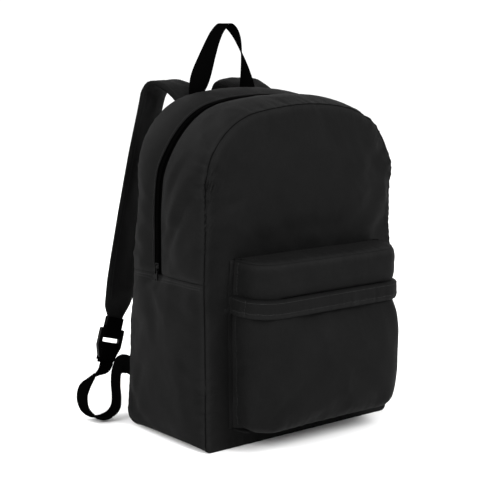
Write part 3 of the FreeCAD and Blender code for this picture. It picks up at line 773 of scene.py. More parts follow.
def rim_trims(name, grid, piece, inside, *nodes):
    """The seam's dark line, a near-black cord that is painted shade for the shadow in the seam's groove, and
    inside the bag the tape that binds its allowance.
    """
    # Painted shade: a near-black cord laid along the rim where the seam's groove is in shadow.
    rim_trim(name + "_seam_shade_line", grid, piece, 0.5 * MM, 0.5 * MM, (0, 0), SEAM_SHADE_CORD)
    shift = (5.0 * MM, inside * 3.2 * MM)
    tape = rim_trim(name + "_seam_tape", grid, piece, 4.0 * MM, 0.9 * MM, shift, BINDING_CLOTH)
    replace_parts(tape, *nodes)


def ring_shape(line, first, last):
    """A sheet that follows a line of the outline between two depths, each a function of height."""
    def shape(rows, columns):
        points = even(line, 400)
        at = np.linspace(0, 1, len(points))
        x = np.interp(columns, at, points[:, 0])
        z = np.interp(columns, at, points[:, 1])
        back = at_back(z)
        y = first(z) + (last(z) - first(z)) * rows[:, None]
        z = np.tile(z, (len(rows), 1))
        x = np.tile(x, (len(rows), 1))
        grid = np.stack([x, y, z + rise(z, y)], axis=2)
        reach = np.minimum(swell(y - Y_FRONT, 40 * MM), swell(back - y, 36 * MM))
        at_zip = smooth((z - SEAM_Z + 35 * MM) / (35 * MM))
        stand = 4.0 * MM * reach * (1 - at_zip * (1 - swell(off_zip(z, y), 30 * MM)))
        on_floor = z < CORNER_R
        stand = np.where(on_floor, -1.2 * MM * reach * (1 - z / CORNER_R), stand)
        return grid + normals_of(grid) * stand[..., None]

    return shape


SIDE_FOLDS = {
    LEFT: [
        (-20, 262, -62, 70, 7, 1.9),
        (-45, 300, -55, 80, 8, 1.9),
        (-22, 322, -60, 60, 6, 1.4),
        (-62, 236, -40, 60, 8, 1.3),
        (18, 165, 72, 90, 11, 1.4),
        (-38, 120, 80, 110, 13, 1.3),
        (-70, 60, 62, 60, 8, 1.1),
        (52, 70, -70, 70, 9, 1.2),
    ],
    RIGHT: [
        (-30, 282, -58, 80, 8, 1.8),
        (-55, 330, -50, 60, 7, 1.5),
        (-48, 238, -35, 60, 8, 1.2),
        (10, 150, 68, 100, 12, 1.5),
        (-50, 95, 84, 100, 12, 1.2),
        (45, 120, -66, 70, 10, 1.3),
    ],
}


def ring_panel(name, line, first, last, run0, ends, slack=0.014):
    """A sheet of the gusset, sewn to the front and the back or turned in beside the zip."""
    shape = ring_shape(line, first, last)
    width = length_of(line)
    low = np.array([SEAM_Z])
    depth = float(last(low)[0] - first(low)[0])
    lift = puffed(shape, depth, width, edges_held, pressure=1.8, slack=slack, cap=5 * MM)
    rows = spaced(depth, ends=(True, True)) / depth
    columns = spaced(width, ends=ends) / width
    grid = shape(rows, columns) + lift(rows, columns)
    x, y, z = (grid[..., k] for k in range(3))
    flat = flat_measures(grid)
    run = np.tile(run0 + columns * width, (len(rows), 1))
    front = y - Y_FRONT
    back = back_edge(z) - y
    end = np.full_like(y, 1.0)
    if ends[0]:
        end = np.minimum(end, np.tile(columns * width, (len(rows), 1)))
    if ends[1]:
        end = np.minimum(end, np.tile((1 - columns) * width, (len(rows), 1)))
    stand = gathers(run, front, 1.5) * shoulder_pucker(z) + gathers(run, back, 0.9, 5.0)
    stand += groove(front) + groove(back) + groove(end, 1.0)
    for side, folds in SIDE_FOLDS.items():
        here = smooth((side * x - 0.8 * HALF_WIDTH) / (0.15 * HALF_WIDTH)) * smooth(end / (9 * MM))
        zip_near = swell(off_zip(z, y), 14 * MM)
        here = here * np.where(z > SEAM_Z - 20 * MM, zip_near, 1)
        stand += 1.3 * here * creases(y - MIDDLE, z, folds)
    stand *= np.where(z < CORNER_R, 0.3, 1)
    grid = grid + normals_of(grid) * stand[..., None]
    grid = grid + crumple(grid)
    grid[..., 2] = np.maximum(grid[..., 2], 0.4 * MM)
    distance = np.minimum(np.minimum(front, back), end)
    return cloth_piece(name, grid, flat, wear_of(distance), BAG_CLOTH)


def gusset_panels():
    """Both sides, the base, and the two strips of the arch beside the zip."""
    over = (True, True)
    for side, run0 in ((LEFT, 0.0), (RIGHT, SIDE_RUN + ARCH_RUN)):
        seam_end = (False, True) if side == LEFT else (True, False)
        name = SIDE_NAME[side]
        piece = ring_panel("side_cloth_" + name, side_line(side), at_front, at_back, run0, seam_end)
        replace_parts(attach(piece, "bag"), "side_panel_" + name)
    base_run = 2 * SIDE_RUN + ARCH_RUN
    base = ring_panel("base_cloth", base_line(), at_front, at_back, base_run, (False, False), slack=0.002)
    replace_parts(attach(base, "bag"), "base_panel")
    front_edge, rear_edge = beside_zip(-ZIP_SHOWN), beside_zip(ZIP_SHOWN)
    front = ring_panel("front_gusset_cloth", arch_line(), at_front, front_edge, SIDE_RUN, over)
    blend_lid(front)
    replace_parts(front, "lid_gusset", "gusset_corner_left", "gusset_corner_right")
    rear = ring_panel("rear_gusset_cloth", arch_line(), rear_edge, at_back, SIDE_RUN, over)
    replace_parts(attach(rear, "bag"), "rear_gusset")


def back_shape(rows, columns):
    """The padded back: along the floor for a little, round its foot and up the lean."""
    quarter = BACK_FOOT_R * math.pi / 2
    x = np.tile((1 - 2 * columns) * HALF_WIDTH, (len(rows), 1))
    low = foot_height(x)
    start = BACK_FOOT_R * np.arccos(1 - low / BACK_FOOT_R)
    top = top_height(x)
    high = top + rise(top, BACK_LINE_Y[1])
    path = start + (quarter + high - BACK_FOOT_R - start) * rows[:, None]
    turn = np.minimum(path, quarter) / BACK_FOOT_R
    z = np.where(path < quarter, BACK_FOOT_R * (1 - np.cos(turn)), BACK_FOOT_R + path - quarter)
    y = np.where(
        path < quarter,
        BACK_FOOT_Y - BACK_FOOT_R * (1 - np.sin(turn)),
        np.interp(z, BACK_LINE_Z, BACK_LINE_Y),
    )
    rim = np.minimum(np.minimum(HALF_WIDTH - np.abs(x), high - z), path)
    grid = np.stack([x, y, z], axis=2)
    stand = 4.5 * MM * swell(np.maximum(rim, 0), 45 * MM) * smooth((z - 12 * MM) / (40 * MM))
    return grid + normals_of(grid) * stand[..., None]


def back_panel():
    """The back, puffed over its padding and gathered along its seam."""
    height = top_height(np.array(0.0)) + 45 * MM
    lift = puffed(back_shape, height, 2 * HALF_WIDTH, edges_held, pressure=1.0, slack=0.006, cap=3 * MM)
    rows = spaced(height) / height
    columns = spaced(2 * HALF_WIDTH) / (2 * HALF_WIDTH)
    grid = back_shape(rows, columns) + lift(rows, columns)
    x, y, z = (grid[..., k] for k in range(3))
    flat = flat_measures(grid)
    distance, run = seam_distance(x, z - rise(z, y))
    stand = gathers(run, distance, 0.8, 5.0) + groove(distance)
    stand *= smooth(z / (14 * MM))
    grid = grid + normals_of(grid) * stand[..., None]
    grid = grid + crumple(grid)
    grid[..., 2] = np.maximum(grid[..., 2], 0.4 * MM)
    piece = cloth_piece("back_cloth", grid, flat, wear_of(distance), BAG_CLOTH)
    rim_trims("back", grid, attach(piece, "bag"), -1, "back_seam_binding")
    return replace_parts(piece, "back_panel")


# ---- the front pocket ----

POCKET_DEPTH = Y_FRONT - POCKET_FRONT
FLANGE = 6 * MM                           # the pocket's seam allowance, stitched flat to the bag
POCKET_FOOT_R = 15 * MM
POCKET_ROUND = 0.32                       # about the way round the pocket's wall, in metres
POCKET_FOLDS = [                          # as creases takes them
    (-86, 140, 74, 80, 9, 1.5),
    (-70, 70, 40, 70, 9, 1.4),
    (-92, 52, 66, 46, 7, 1.3),
    (-50, 164, 12, 80, 9, 1.0),
    (30, 168, -8, 90, 10, 1.0),
    (84, 150, -72, 80, 9, 1.4),
    (60, 60, -36, 80, 10, 1.4),
]
BAND_FOLDS = [(-80, 222, 10, 50, 5, 0.9), (50, 220, -6, 90, 5, 0.8)]
FLAP_SINK = 5.7 * MM                      # the flap's top edge turns in to the wall by this much
FLAP_SINK_HEIGHT = 3.8 * MM               # over this height
FLAP_HEM = 7 * MM


def pocket_line(stand=0.0, flange=FLANGE):
    """The pocket's plan from the left flange round the front to the right one, as (x, y)."""
    quarter = math.pi / 2
    half = POCKET_HALF + stand
    radius = POCKET_CORNER_R + stand
    x = POCKET_HALF - POCKET_CORNER_R
    y = POCKET_FRONT + POCKET_CORNER_R
    bend = 2.0 * MM
    left = [(-half - flange, Y_FRONT), (-half - bend, Y_FRONT), (-half - 0.3 * bend, Y_FRONT - 0.3 * bend)]
    left += [(-half, Y_FRONT - bend)]
    left += [(px, y - (pz - y)) for px, pz in arc_points(-x, y, radius, -quarter, 0, 12)]
    return left + [(-px, py) for px, py in reversed(left)]


def on_bag(x, y, z, depth):
    """Moves the back of the pocket out to where the front panel's bulging cloth is."""
    back = 1 - np.clip((Y_FRONT - y) / depth, 0, 1)
    return y - (panel_bulge(x, z) + 1.6 * MM) * smooth(back)


def wall_shape(z0, z1, stand=0.0, foot=0.0, swelling=7.0, zip_edge=None, tilt=0.0):
    """A wall of the pocket between two heights: bulging between its seams, drawn in at its foot and
    at the height of the zip beside it, and leaning out by tilt at its lower edge."""
    line = even(pocket_line(stand), 500)
    at = np.linspace(0, 1, len(line))

    def shape(rows, columns):
        x = np.tile(np.interp(columns, at, line[:, 0]), (len(rows), 1))
        y = np.tile(np.interp(columns, at, line[:, 1]), (len(rows), 1))
        z = np.tile(z0 + (z1 - z0) * rows[:, None], (1, len(columns)))
        grid = np.stack([x, on_bag(x, y, z, POCKET_DEPTH), z], axis=2)
        front = np.clip((Y_FRONT - y) / POCKET_DEPTH, 0, 1)
        out = normals_of(grid)
        middle = swell(np.minimum(z - z0, z1 - z), 0.42 * (z1 - z0))
        stand_off = swelling * MM * middle * smooth(front * 1.6)
        if foot:
            low = np.clip(1 - (z - z0) / foot, 0, 1)
            stand_off = stand_off - foot * (1 - np.sqrt(1 - low**2)) * smooth(front * 4)
        stand_off = stand_off + tilt * (1 - rows[:, None]) * smooth(front * 3)
        if zip_edge is not None:
            at_zip = 1 - smooth((np.abs(x) - FLAP_HALF) / (8 * MM))
            stand_off = stand_off - 3 * MM * at_zip * np.clip(1 - np.abs(z - zip_edge) / (3 * MM), 0, 1)
        return grid + out * stand_off[..., None]

    return shape, length_of(pocket_line(stand))


def pocket_wall(name, z0, z1, folds, seed, puff, **looks):
    """Sewn along its foot and its top, and flat to the bag for the width of its seam allowance."""
    pressure, slack, cap = puff
    shape, width = wall_shape(z0, z1, **looks)
    height = z1 - z0

    def held(rows, columns):
        fast = edges_held(rows, columns)
        fast[:, np.minimum(columns, 1 - columns) * width < FLANGE + 5 * MM] = 1.0
        return fast

    lift = puffed(shape, height, width, held, pressure=pressure, slack=slack, cap=cap)
    rows = spaced(height, 3.0 * MM) / height
    columns = spaced(width, 3.0 * MM) / width
    grid = shape(rows, columns) + lift(rows, columns)
    x, z = grid[..., 0], grid[..., 2]
    flat = flat_measures(grid)
    run = np.tile(columns * width, (len(rows), 1))
    side = np.minimum(run, width - run) - FLANGE
    ends = np.minimum(z - z0, z1 - z) if "foot" in looks else z1 - z
    stand = gathers(z, np.abs(side), 1.0, seed) * smooth(side / (4 * MM))
    stand += gathers(run, ends, 0.9, seed + 3)
    stand += groove(np.abs(side + 0.5 * MM), 0.8, 2.5) + groove(ends, 1.2, 3.0)
    stand += 1.35 * creases(x, z, folds) * swell(ends, 15 * MM)
    grid = grid + normals_of(grid) * stand[..., None]
    grid = grid + crumple(grid)
    distance = np.minimum(np.minimum(np.abs(side), ends), 1.0)
    return cloth_piece(name, grid, flat, wear_of(distance), BAG_CLOTH)


def pocket_lid_shape(z, drop):
    """The pocket's flat top or base: a U filled in from its middle line to the front."""
    line = even(pocket_line(0.0, 0.0)[2:-2], 500)
    at = np.linspace(0, 1, len(line))

    def shape(rows, columns):
        x_edge = np.interp(columns, at, line[:, 0])
        y_edge = np.interp(columns, at, line[:, 1])
        share = rows[:, None]
        x = np.tile(x_edge, (len(rows), 1))
        y = y_edge + (Y_FRONT - y_edge) * share
        level = np.full_like(x, z)
        y = on_bag(x, y, level, POCKET_DEPTH)
        edge = np.minimum(np.abs(y - Y_FRONT), share * POCKET_DEPTH)
        level = level + drop * swell(np.clip(edge, 0, 1), 25 * MM)
        return np.stack([x, y, level], axis=2)

    return shape


def pocket_lid(name, node, z, drop, inset):
    """The pocket's top or its base, gathered along the edge that meets the pocket's wall."""
    shape = pocket_lid_shape(z, drop)
    rows = spaced(POCKET_DEPTH, 3 * MM) / POCKET_DEPTH
    columns = np.linspace(0, 1, 150)
    grid = shape(rows, columns)
    x, y = grid[..., 0], grid[..., 1]
    shrink = 1 - inset / POCKET_DEPTH * np.linspace(1, 0, len(rows))[:, None]
    grid[..., 0] = x * (1 - inset / POCKET_HALF * (1 - rows[:, None]))
    grid[..., 1] = Y_FRONT + (y - Y_FRONT) * shrink
    flat = flat_measures(grid)
    distance = np.minimum(np.tile(rows[:, None] * POCKET_DEPTH, (1, len(columns))), 1.0)
    run = np.tile(columns * POCKET_ROUND, (len(rows), 1))
    stand = gathers(run, distance, 0.8, 4.0) + groove(distance, 0.8, 2.5)
    up = 1 if z > POCKET_ZIP_Z else -1
    grid[..., 2] += up * stand
    grid = grid + crumple(grid)
    if up < 0:
        grid = grid[:, ::-1]
        flat = flat[:, ::-1]
    piece = cloth_piece(name, grid, flat, wear_of(distance), BAG_CLOTH)
    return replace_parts(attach(piece, "bag"), node)


def pocket():
    """The wall below the zip, the band above it, the top and the base."""
    low = POCKET_ZIP_Z - POCKET_ZIP_HALF
    high = POCKET_ZIP_Z + POCKET_ZIP_HALF
    lower = pocket_wall(
        "pocket_cloth", POCKET_Z0, low, POCKET_FOLDS, 11.0, (2.6, 0.016, 5 * MM),
        foot=POCKET_FOOT_R, zip_edge=low, swelling=7.0,
    )
    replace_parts(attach(lower, "bag"), "pocket_front_panel")
    upper = pocket_wall(
        "pocket_band_cloth", high, POCKET_Z1, BAND_FOLDS, 23.0, (2.0, 0.012, 3 * MM),
        zip_edge=high, swelling=3.0,
    )
    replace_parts(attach(upper, "bag"), "pocket_upper_band")
    pocket_lid("pocket_top_cloth", "pocket_top", POCKET_Z1, 3 * MM, 0.0)
    pocket_lid("pocket_base_cloth", "pocket_base", POCKET_Z0, -2 * MM, POCKET_FOOT_R)


def flap_half(side):
    """Half of the rain flap: stitched down at its end, free over the zip, hemmed along its edge."""
    shape, width = wall_shape(FLAP_LOW.z, FLAP_HIGH.z, stand=5.3 * MM, swelling=1.6, tilt=0.5 * MM)
    rows = spaced(FLAP_HIGH.z - FLAP_LOW.z, 2.2 * MM) / (FLAP_HIGH.z - FLAP_LOW.z)
    columns = spaced(width / 2, 3.0 * MM, (True, False)) / width
    if side == RIGHT:
        columns = 1 - columns[::-1]
    grid = shape(rows, columns)
    z = grid[..., 2]
    height = z - FLAP_LOW.z
    from_top = FLAP_HIGH.z - z
    run = np.tile(columns * width, (len(rows), 1))
    end = np.minimum(run, width - run)
    stand = -FLAP_SINK * np.clip(1 - from_top / FLAP_SINK_HEIGHT, 0, 1) ** 1.4
    stand += 0.5 * MM * np.clip(1 - np.abs(height - FLAP_HEM / 2) / (FLAP_HEM / 2), 0, 1) ** 0.5
    stand += gathers(run, height, 0.8, 31.0) + 0.5 * gathers(run, np.abs(height - FLAP_HEM), 0.9, 33.0)
    stand += 0.9 * MM * noise_at(np.stack([run, run * 0, run * 0], axis=-1), 0.055, 4.0) * (1 - rows[:, None])
    stand -= 2.6 * MM * np.clip(1 - (end - FLANGE) / (10 * MM), 0, 1)
    flat = flat_measures(grid)
    grid = grid + normals_of(grid) * stand[..., None]
    grid = grid + crumple(grid)
    wear = wear_of(np.minimum(height, end))
    name = SIDE_NAME[side]
    piece = cloth_piece("flap_cloth_" + name, grid, flat, wear, BAG_CLOTH, 1.4 * MM)
    start = (side * (FLAP_HALF + 16 * MM), POCKET_FRONT, FLAP_HIGH.z)
    blend(piece, "bag", "flap", start, (side * (FLAP_HALF - 26 * MM), POCKET_FRONT, FLAP_HIGH.z))
    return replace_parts(piece, "flap_end_" + name, "pocket_flap")


# ---- straps, webbing and the handle ----

def spline(points, count):
    """A smooth line (Catmull-Rom) through the points, evenly spaced."""
    points = np.asarray(points, float)
    padded = np.vstack([2 * points[0] - points[1], points, 2 * points[-1] - points[-2]])
    fine = []
    for a, b, c, d in zip(padded, padded[1:], padded[2:], padded[3:]):
        for t in np.linspace(0, 1, 12, endpoint=False):
            fine.append(0.5 * (2 * b + (c - a) * t + (2 * a - 5 * b + 4 * c - d) * t**2
                               + (3 * b - a - 3 * c + d) * t**3))
    fine.append(points[-1])
    return even(fine, count)


def level(angle):
    """A level direction at this angle from +X."""
    a = math.radians(angle)
    return (math.cos(a), math.sin(a), 0.0)


def ribbon_frames(stations, count):
    """Centres, sides, normals and widths along a strap whose stations are (x, y, z), side, factor."""
    rows = [[*centre, *side, factor] for centre, side, factor in stations]
    table = np.array(rows, float)
    table[:, :3] = table[:, :3] * MM + [0, MIDDLE, 0]
    scaled = table.copy()
    scaled[:, 3:] *= 0.02
    line = spline(scaled, count)
    centre = line[:, :3]
    along = np.gradient(centre, axis=0)
    along /= np.linalg.norm(along, axis=1, keepdims=True)
    side = line[:, 3:6]
    side = side - along * (side * along).sum(axis=1, keepdims=True)
    side /= np.linalg.norm(side, axis=1, keepdims=True)
    return centre, side, np.cross(along, side), line[:, 6] / 0.02


def tube_piece(name, sections, flats, material, closed_ends=True):
    """A closed skin over sections that are rings of points."""
    count, ring = sections.shape[:2]
    faces = []
    for r in range(count - 1):
        for c in range(ring):
            d = (c + 1) % ring
            faces.append((r * ring + c, r * ring + d, (r + 1) * ring + d, (r + 1) * ring + c))
    if closed_ends:
        faces.append(tuple(range(ring))[::-1])
        faces.append(tuple((count - 1) * ring + c for c in range(ring)))
    piece = link(name, sections.reshape(-1, 3), faces)
    set_attribute(piece, "cloth", "FLOAT_VECTOR", flats)
    set_attribute(piece, "wear", "FLOAT", np.zeros(count * ring))
    piece.data.materials.append(material)
    shade_smooth(piece)
    return piece


def ribbon_sections(frames, across, up, side=LEFT):
    """Rings of points at (across, up) about each frame, for the left side or mirrored."""
    centre, sideways, normal, factor = frames
    u = np.array(across)[None, :, None] * factor[:, None, None]
    points = centre[:, None] + sideways[:, None] * u + normal[:, None] * np.array(up)[None, :, None]
    if side == RIGHT:
        points = points[:, ::-1] * np.array([-1, 1, 1])
    reach = np.concatenate([[0], np.cumsum(np.linalg.norm(np.diff(centre, axis=0), axis=1))])
    v = np.tile(reach[:, None], (1, len(across)))
    flat_u = np.tile(np.array(across), (len(reach), 1))
    if side == RIGHT:
        flat_u = flat_u[:, ::-1]
    return points, np.stack([flat_u, v, np.zeros_like(v)], axis=2)


def web_outline(base=-WEB_THICK / 2):
    """The section of flat webbing: a round-edged band, slightly thicker at its selvedges."""
    half, thick = WEB_HALF, WEB_THICK
    count = 12
    u = np.linspace(-half + 0.5 * MM, half - 0.5 * MM, count)
    swellings = 0.10 * MM * (np.abs(u) > half - 3 * MM)
    top = [(x, base + thick + s) for x, s in zip(u, swellings)]
    bottom = [(x, base - s) for x, s in zip(u[::-1], swellings)]
    edge = base + thick / 2
    return [(-half, edge)] + top + [(half, edge)] + bottom


def web_piece(name, frames, side, base=-WEB_THICK / 2):
    """A length of webbing along these frames."""
    outline = web_outline(base)
    across = [u for u, _ in outline]
    up = [h for _, h in outline]
    points, flats = ribbon_sections(frames, across, up, side)
    return tube_piece(name, points, flats, WEBBING)


STRAP_HALF = 30 * MM
STRAP_FOOT = [
    ((-119.5, 150.5, 160.0), level(15), 0.93),
    ((-122.5, 154.5, 140.0), level(8), 0.72),
    ((-125.2, 156.5, 124.3), level(0), 25 / 60),
    ((-128.6, 156.5, 111.8), level(0), 25 / 60),
]
# Both straps as they hang on the left; the right one is then mirrored.
STRAP_ROUTES = {
    LEFT: [
        ((-55.0, 65.9, 411.0), level(0), 1.0),
        ((-55.0, 73.0, 412.5), level(0), 1.0),
        ((-57.0, 84.0, 419.0), level(5), 1.0),
        ((-62.5, 96.0, 426.5), level(10), 1.0),
        ((-69.5, 108.0, 430.5), level(14), 1.0),
        ((-76.0, 117.0, 429.5), level(18), 1.0),
        ((-81.0, 122.5, 421.0), level(22), 1.0),
        ((-84.5, 126.0, 404.0), level(25), 1.0),
        ((-95.0, 135.5, 340.0), level(25), 1.0),
        ((-106.5, 144.0, 260.0), level(23), 1.0),
        ((-116.0, 149.0, 190.0), level(19), 1.0),
    ] + STRAP_FOOT,
    RIGHT: [
        ((-55.0, 65.9, 411.0), level(0), 1.0),
        ((-55.0, 73.0, 412.5), level(0), 1.0),
        ((-53.5, 83.0, 418.5), level(0), 1.0),
        ((-51.5, 94.0, 425.0), level(0), 1.0),
        ((-50.0, 105.0, 429.5), level(0), 1.0),
        ((-48.5, 116.0, 431.0), level(0), 1.0),
        ((-48.0, 126.0, 427.5), level(0), 1.0),
        ((-48.5, 132.5, 417.0), level(1), 1.0),
        ((-50.5, 137.0, 402.0), level(3), 1.0),
        ((-60.0, 145.0, 340.0), level(9), 1.0),
        ((-82.0, 150.0, 260.0), level(15), 1.0),
        ((-106.0, 150.5, 190.0), level(17), 1.0),
    ] + STRAP_FOOT,
}
SEAM_WAY = (0.0, -0.1, 1.0)
TURNING = (0.05, 0.6, 0.75)
LOOP_WAY = (0.1, 1.0, -0.1)
TWIST = (0.75, 0.6, -0.3)
BUCKLE_WAY = (0.96, 0.0, -0.28)
ADJUSTER_STATIONS = [
    ((-149.0, 86.0, 76.0), SEAM_WAY, 1.0),
    ((-149.6, 94.0, 77.0), SEAM_WAY, 1.0),
    ((-154.0, 101.0, 74.5), TURNING, 1.0),
    ((-157.5, 105.0, 66.0), LOOP_WAY, 1.0),
    ((-158.0, 107.0, 49.0), LOOP_WAY, 1.0),
    ((-156.0, 108.5, 32.0), LOOP_WAY, 1.0),
    ((-156.5, 110.5, 18.0), LOOP_WAY, 1.0),
    ((-163.0, 113.5, 9.0), LOOP_WAY, 1.0),
    ((-174.0, 118.0, 6.0), LOOP_WAY, 1.0),
    ((-183.0, 125.0, 9.0), LOOP_WAY, 1.0),
    ((-188.0, 133.0, 17.0), LOOP_WAY, 1.0),
    ((-187.0, 140.0, 29.0), LOOP_WAY, 1.0),
    ((-179.0, 146.0, 41.0), LOOP_WAY, 1.0),
    ((-166.0, 151.0, 50.0), (0.4, 0.9, -0.2), 1.0),
    ((-153.0, 155.0, 56.0), TWIST, 1.0),
    ((-143.1, 156.5, 61.6), BUCKLE_WAY, 1.0),
    ((-140.75, 156.5, 69.85), BUCKLE_WAY, 1.0),
]
TAIL_PART = slice(7, 14)                  # stations that the webbing's free end lies along
LAST_TURN = 13                            # the station where it turns in to the buckle
TAIL_LIFT = 1.1 * MM                      # the free end's inner face, from the middle of the webbing
SWING_LINE = (92 * MM, 139 * MM)          # behind the middle, where it takes up the strap's swing
TILT_SHARES = (0.14, 0.77)                # parts of its last stretch where it takes up the buckle's tilt
BUCKLE_BAR = np.array([-130 * MM, MIDDLE + 156.5 * MM, 107 * MM])
BUCKLE_LEAN = math.radians(16)            # its foot swings outwards
HANDLE_FOOT = 424.8 * MM
# The handle's loop as (x, height above its foot, angle of its width), in mm and degrees.
HANDLE_LOOP = [
    (-55.0, -9.0, 0),
    (-55.0, 0.0, 0),
    (-48.5, 16.0, -32),
    (-40.5, 34.0, -58),
    (-33.0, 49.5, -74),
    (-27.0, 61.0, -82),
    (-19.0, 73.0, -87),
    (-8.0, 82.0, -90),
    (2.5, 78.0, -94),
    (12.0, 65.0, -108),
    (19.0, 44.0, -130),
    (24.0, 22.0, -155),
    (27.0, 0.0, -180),
    (27.0, -9.0, -180),
]


def strap_outline():
    """Half the strap's padded section: swollen in the middle and pinched at the bindings."""
    count = 17
    u = np.linspace(-1, 1, count)
    swelling = 1.6 * MM + 3.6 * MM * (1 - np.abs(u) ** 3.2) ** 0.8
    top = [(x * STRAP_HALF * 0.985, h) for x, h in zip(u, swelling)]
    bottom = [(x * STRAP_HALF * 0.985, -h) for x, h in zip(u[::-1], swelling)]
    return top + bottom


def shoulder_strap(side):
    """The padded strap with its sewn end, its edge bindings and the short webbing loop."""
    name = SIDE_NAME[side]
    frames = ribbon_frames(STRAP_ROUTES[side], 130)
    outline = strap_outline()
    points, flats = ribbon_sections(frames, [u for u, _ in outline], [h for _, h in outline], side)
    centre = points.mean(axis=1, keepdims=True)
    end = smooth((centre[:, :, 2:3] - 118 * MM) / (46 * MM))
    root = smooth((points[:, :1, 1:2] - MIDDLE - 64 * MM) / (16 * MM))
    full = np.minimum(0.42 + 0.58 * end, 0.45 + 0.55 * root)
    normal = (frames[2] * np.array([1 if side == LEFT else -1, 1, 1]))[:, None]
    off = ((points - centre) * normal).sum(axis=2, keepdims=True)
    points = points + normal * off * (full - 1)
    wrinkle = noise_at(points * np.array([1, 1, 0.45]), 0.02, 50.0 + side) * 0.9 * MM
    fold = smooth((points[..., 2] - 0.37) / 0.05)
    wrinkle += fold * noise_at(points, 0.012, 70.0 + side) * 1.1 * MM
    wrinkle *= np.clip(np.abs(off[..., 0]) / (3 * MM), 0, 1)
    points = points + normal * np.sign(off) * wrinkle[..., None]
    strap = tube_piece("strap_pad_" + name, points, flats, STRAP_CLOTH)
    blend_strap(strap, side)
    nodes = [kind + "_" + name for kind in ("strap_cover", "strap_lining", "strap_foam", "strap_end")]
    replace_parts(strap, *nodes)
    strap_bindings(frames, side)
    buckle_webbing(side)


def strap_bindings(frames, side):
    """Binding tape folded over each long edge of the strap."""
    name = SIDE_NAME[side]
    for edge in (-1, 1):
        span = 3.4 * MM
        ring = []
        for angle in np.linspace(0, 2 * math.pi, 12, endpoint=False):
            ring.append((edge * (STRAP_HALF - span / 2 + 0.3 * MM) + span / 2 * math.cos(angle),
                         1.9 * MM * math.sin(angle)))
        centre, sideways, normal, factor = frames
        points, flats = ribbon_sections(frames, [0.0] * 12, [0.0] * 12, LEFT)
        u = np.array([a for a, _ in ring])
        h = np.array([b for _, b in ring])
        inner = edge * STRAP_HALF * (factor - 1)
        across = u[None, :] + inner[:, None]
        points = centre[:, None] + sideways[:, None] * across[..., None] + normal[:, None] * h[None, :, None]
        flats[..., 0] = np.arange(12)[None, :] * 1.0 * MM
        if side == RIGHT:
            points = points[:, ::-1] * np.array([-1, 1, 1])
        which = "outer" if edge < 0 else "inner"
        keep = slice(2, -10)
        title = f"strap_binding_{which}_{name}"
        piece = tube_piece(title, points[keep], flats[keep], BINDING_CLOTH)
        blend_strap(piece, side)
        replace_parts(piece, "strap_binding_" + name)


def folded_webbing(name, side, path):
    """Webbing along a path of (y, z) about the buckle's top bar, leaning as the buckle leans."""
    path = np.array(path)
    way = np.gradient(path, axis=0)
    way /= np.linalg.norm(way, axis=1, keepdims=True)
    out = np.stack([way[:, 1], -way[:, 0]], axis=1)
    outline = np.array(web_outline())
    across = np.tile(outline[:, 0], (len(path), 1))
    y = path[:, :1] + out[:, :1] * outline[:, 1]
    up = path[:, 1:] + out[:, 1:] * outline[:, 1]
    x = across * math.cos(BUCKLE_LEAN) + up * math.sin(BUCKLE_LEAN)
    z = up * math.cos(BUCKLE_LEAN) - across * math.sin(BUCKLE_LEAN)
    sections = BUCKLE_BAR + np.stack([x, y, z], axis=2)
    reach = np.tile(np.linspace(0, length_of(path), len(path))[:, None], len(outline))
    flats = np.stack([across, reach, 0 * x], axis=2)
    if side == RIGHT:
        sections = sections[:, ::-1] * np.array([-1, 1, 1])
        flats = flats[:, ::-1]
    return tube_piece(name, sections, flats, WEBBING)


def fold_path(radius, turn_z, end_z):
    """Down (or up) one side of a bar, round it and back along the other, as (y, z)."""
    way = 1 if turn_z < end_z else -1
    legs = np.linspace(end_z, turn_z, 14)
    angles = np.linspace(0, math.pi, 15)[1:-1]
    front = [(-radius, z) for z in legs]
    turn = [(-radius * math.cos(a), turn_z - way * radius * math.sin(a)) for a in angles]
    return front + turn + [(radius, z) for z in legs[::-1]]


def buckle_webbing(side):
    """The strap's own webbing folded round the top bar, and the adjuster's round the middle bar."""
    name = SIDE_NAME[side]
    loop = folded_webbing("buckle_webbing_" + name, side, fold_path(3.3 * MM, -3.7 * MM, 17 * MM))
    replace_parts(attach(loop, "strap_" + name), "buckle_loop_" + name)
    threaded = folded_webbing("threaded_webbing_" + name, side, fold_path(3.6 * MM, -21.0 * MM, -41 * MM))
    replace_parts(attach(threaded, "buckle_" + name), "adjuster_webbing_" + name)


def adjuster(side):
    """The webbing from the back seam to the buckle, with its free tail along the outside. It follows
    the strap's swing up to its turn, and from there the tilt of the buckle."""
    name = SIDE_NAME[side]
    frames = ribbon_frames(ADJUSTER_STATIONS, 130)
    centre = frames[0]
    mirror = np.array([-side, 1, 1])
    turn = np.array(ADJUSTER_STATIONS[LAST_TURN][0]) * MM + [0, MIDDLE, 0]
    split = int(np.linalg.norm(centre - turn, axis=1).argmin())
    lower = web_piece("adjuster_live_" + name, tuple(part[:split + 1] for part in frames), side)
    upper = web_piece("adjuster_end_" + name, tuple(part[split:] for part in frames), side)
    tail_frames = ribbon_frames(ADJUSTER_STATIONS[TAIL_PART], 60)
    tail = web_piece("adjuster_tail_" + name, tail_frames, side, base=TAIL_LIFT)
    for piece in (lower, tail):
        start = (side * 150 * MM, MIDDLE + SWING_LINE[0], 0.03)
        end = (side * 150 * MM, MIDDLE + SWING_LINE[1], 0.03)
        blend(piece, "bag", "strap_" + name, start, end)
    way = centre[-1] - turn
    start = tuple((turn + way * TILT_SHARES[0]) * mirror)
    end = tuple((turn + way * TILT_SHARES[1]) * mirror)
    blend(upper, "strap_" + name, "buckle_" + name, start, end)
    for piece in (lower, upper, tail):
        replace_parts(piece, "adjuster_webbing_" + name)


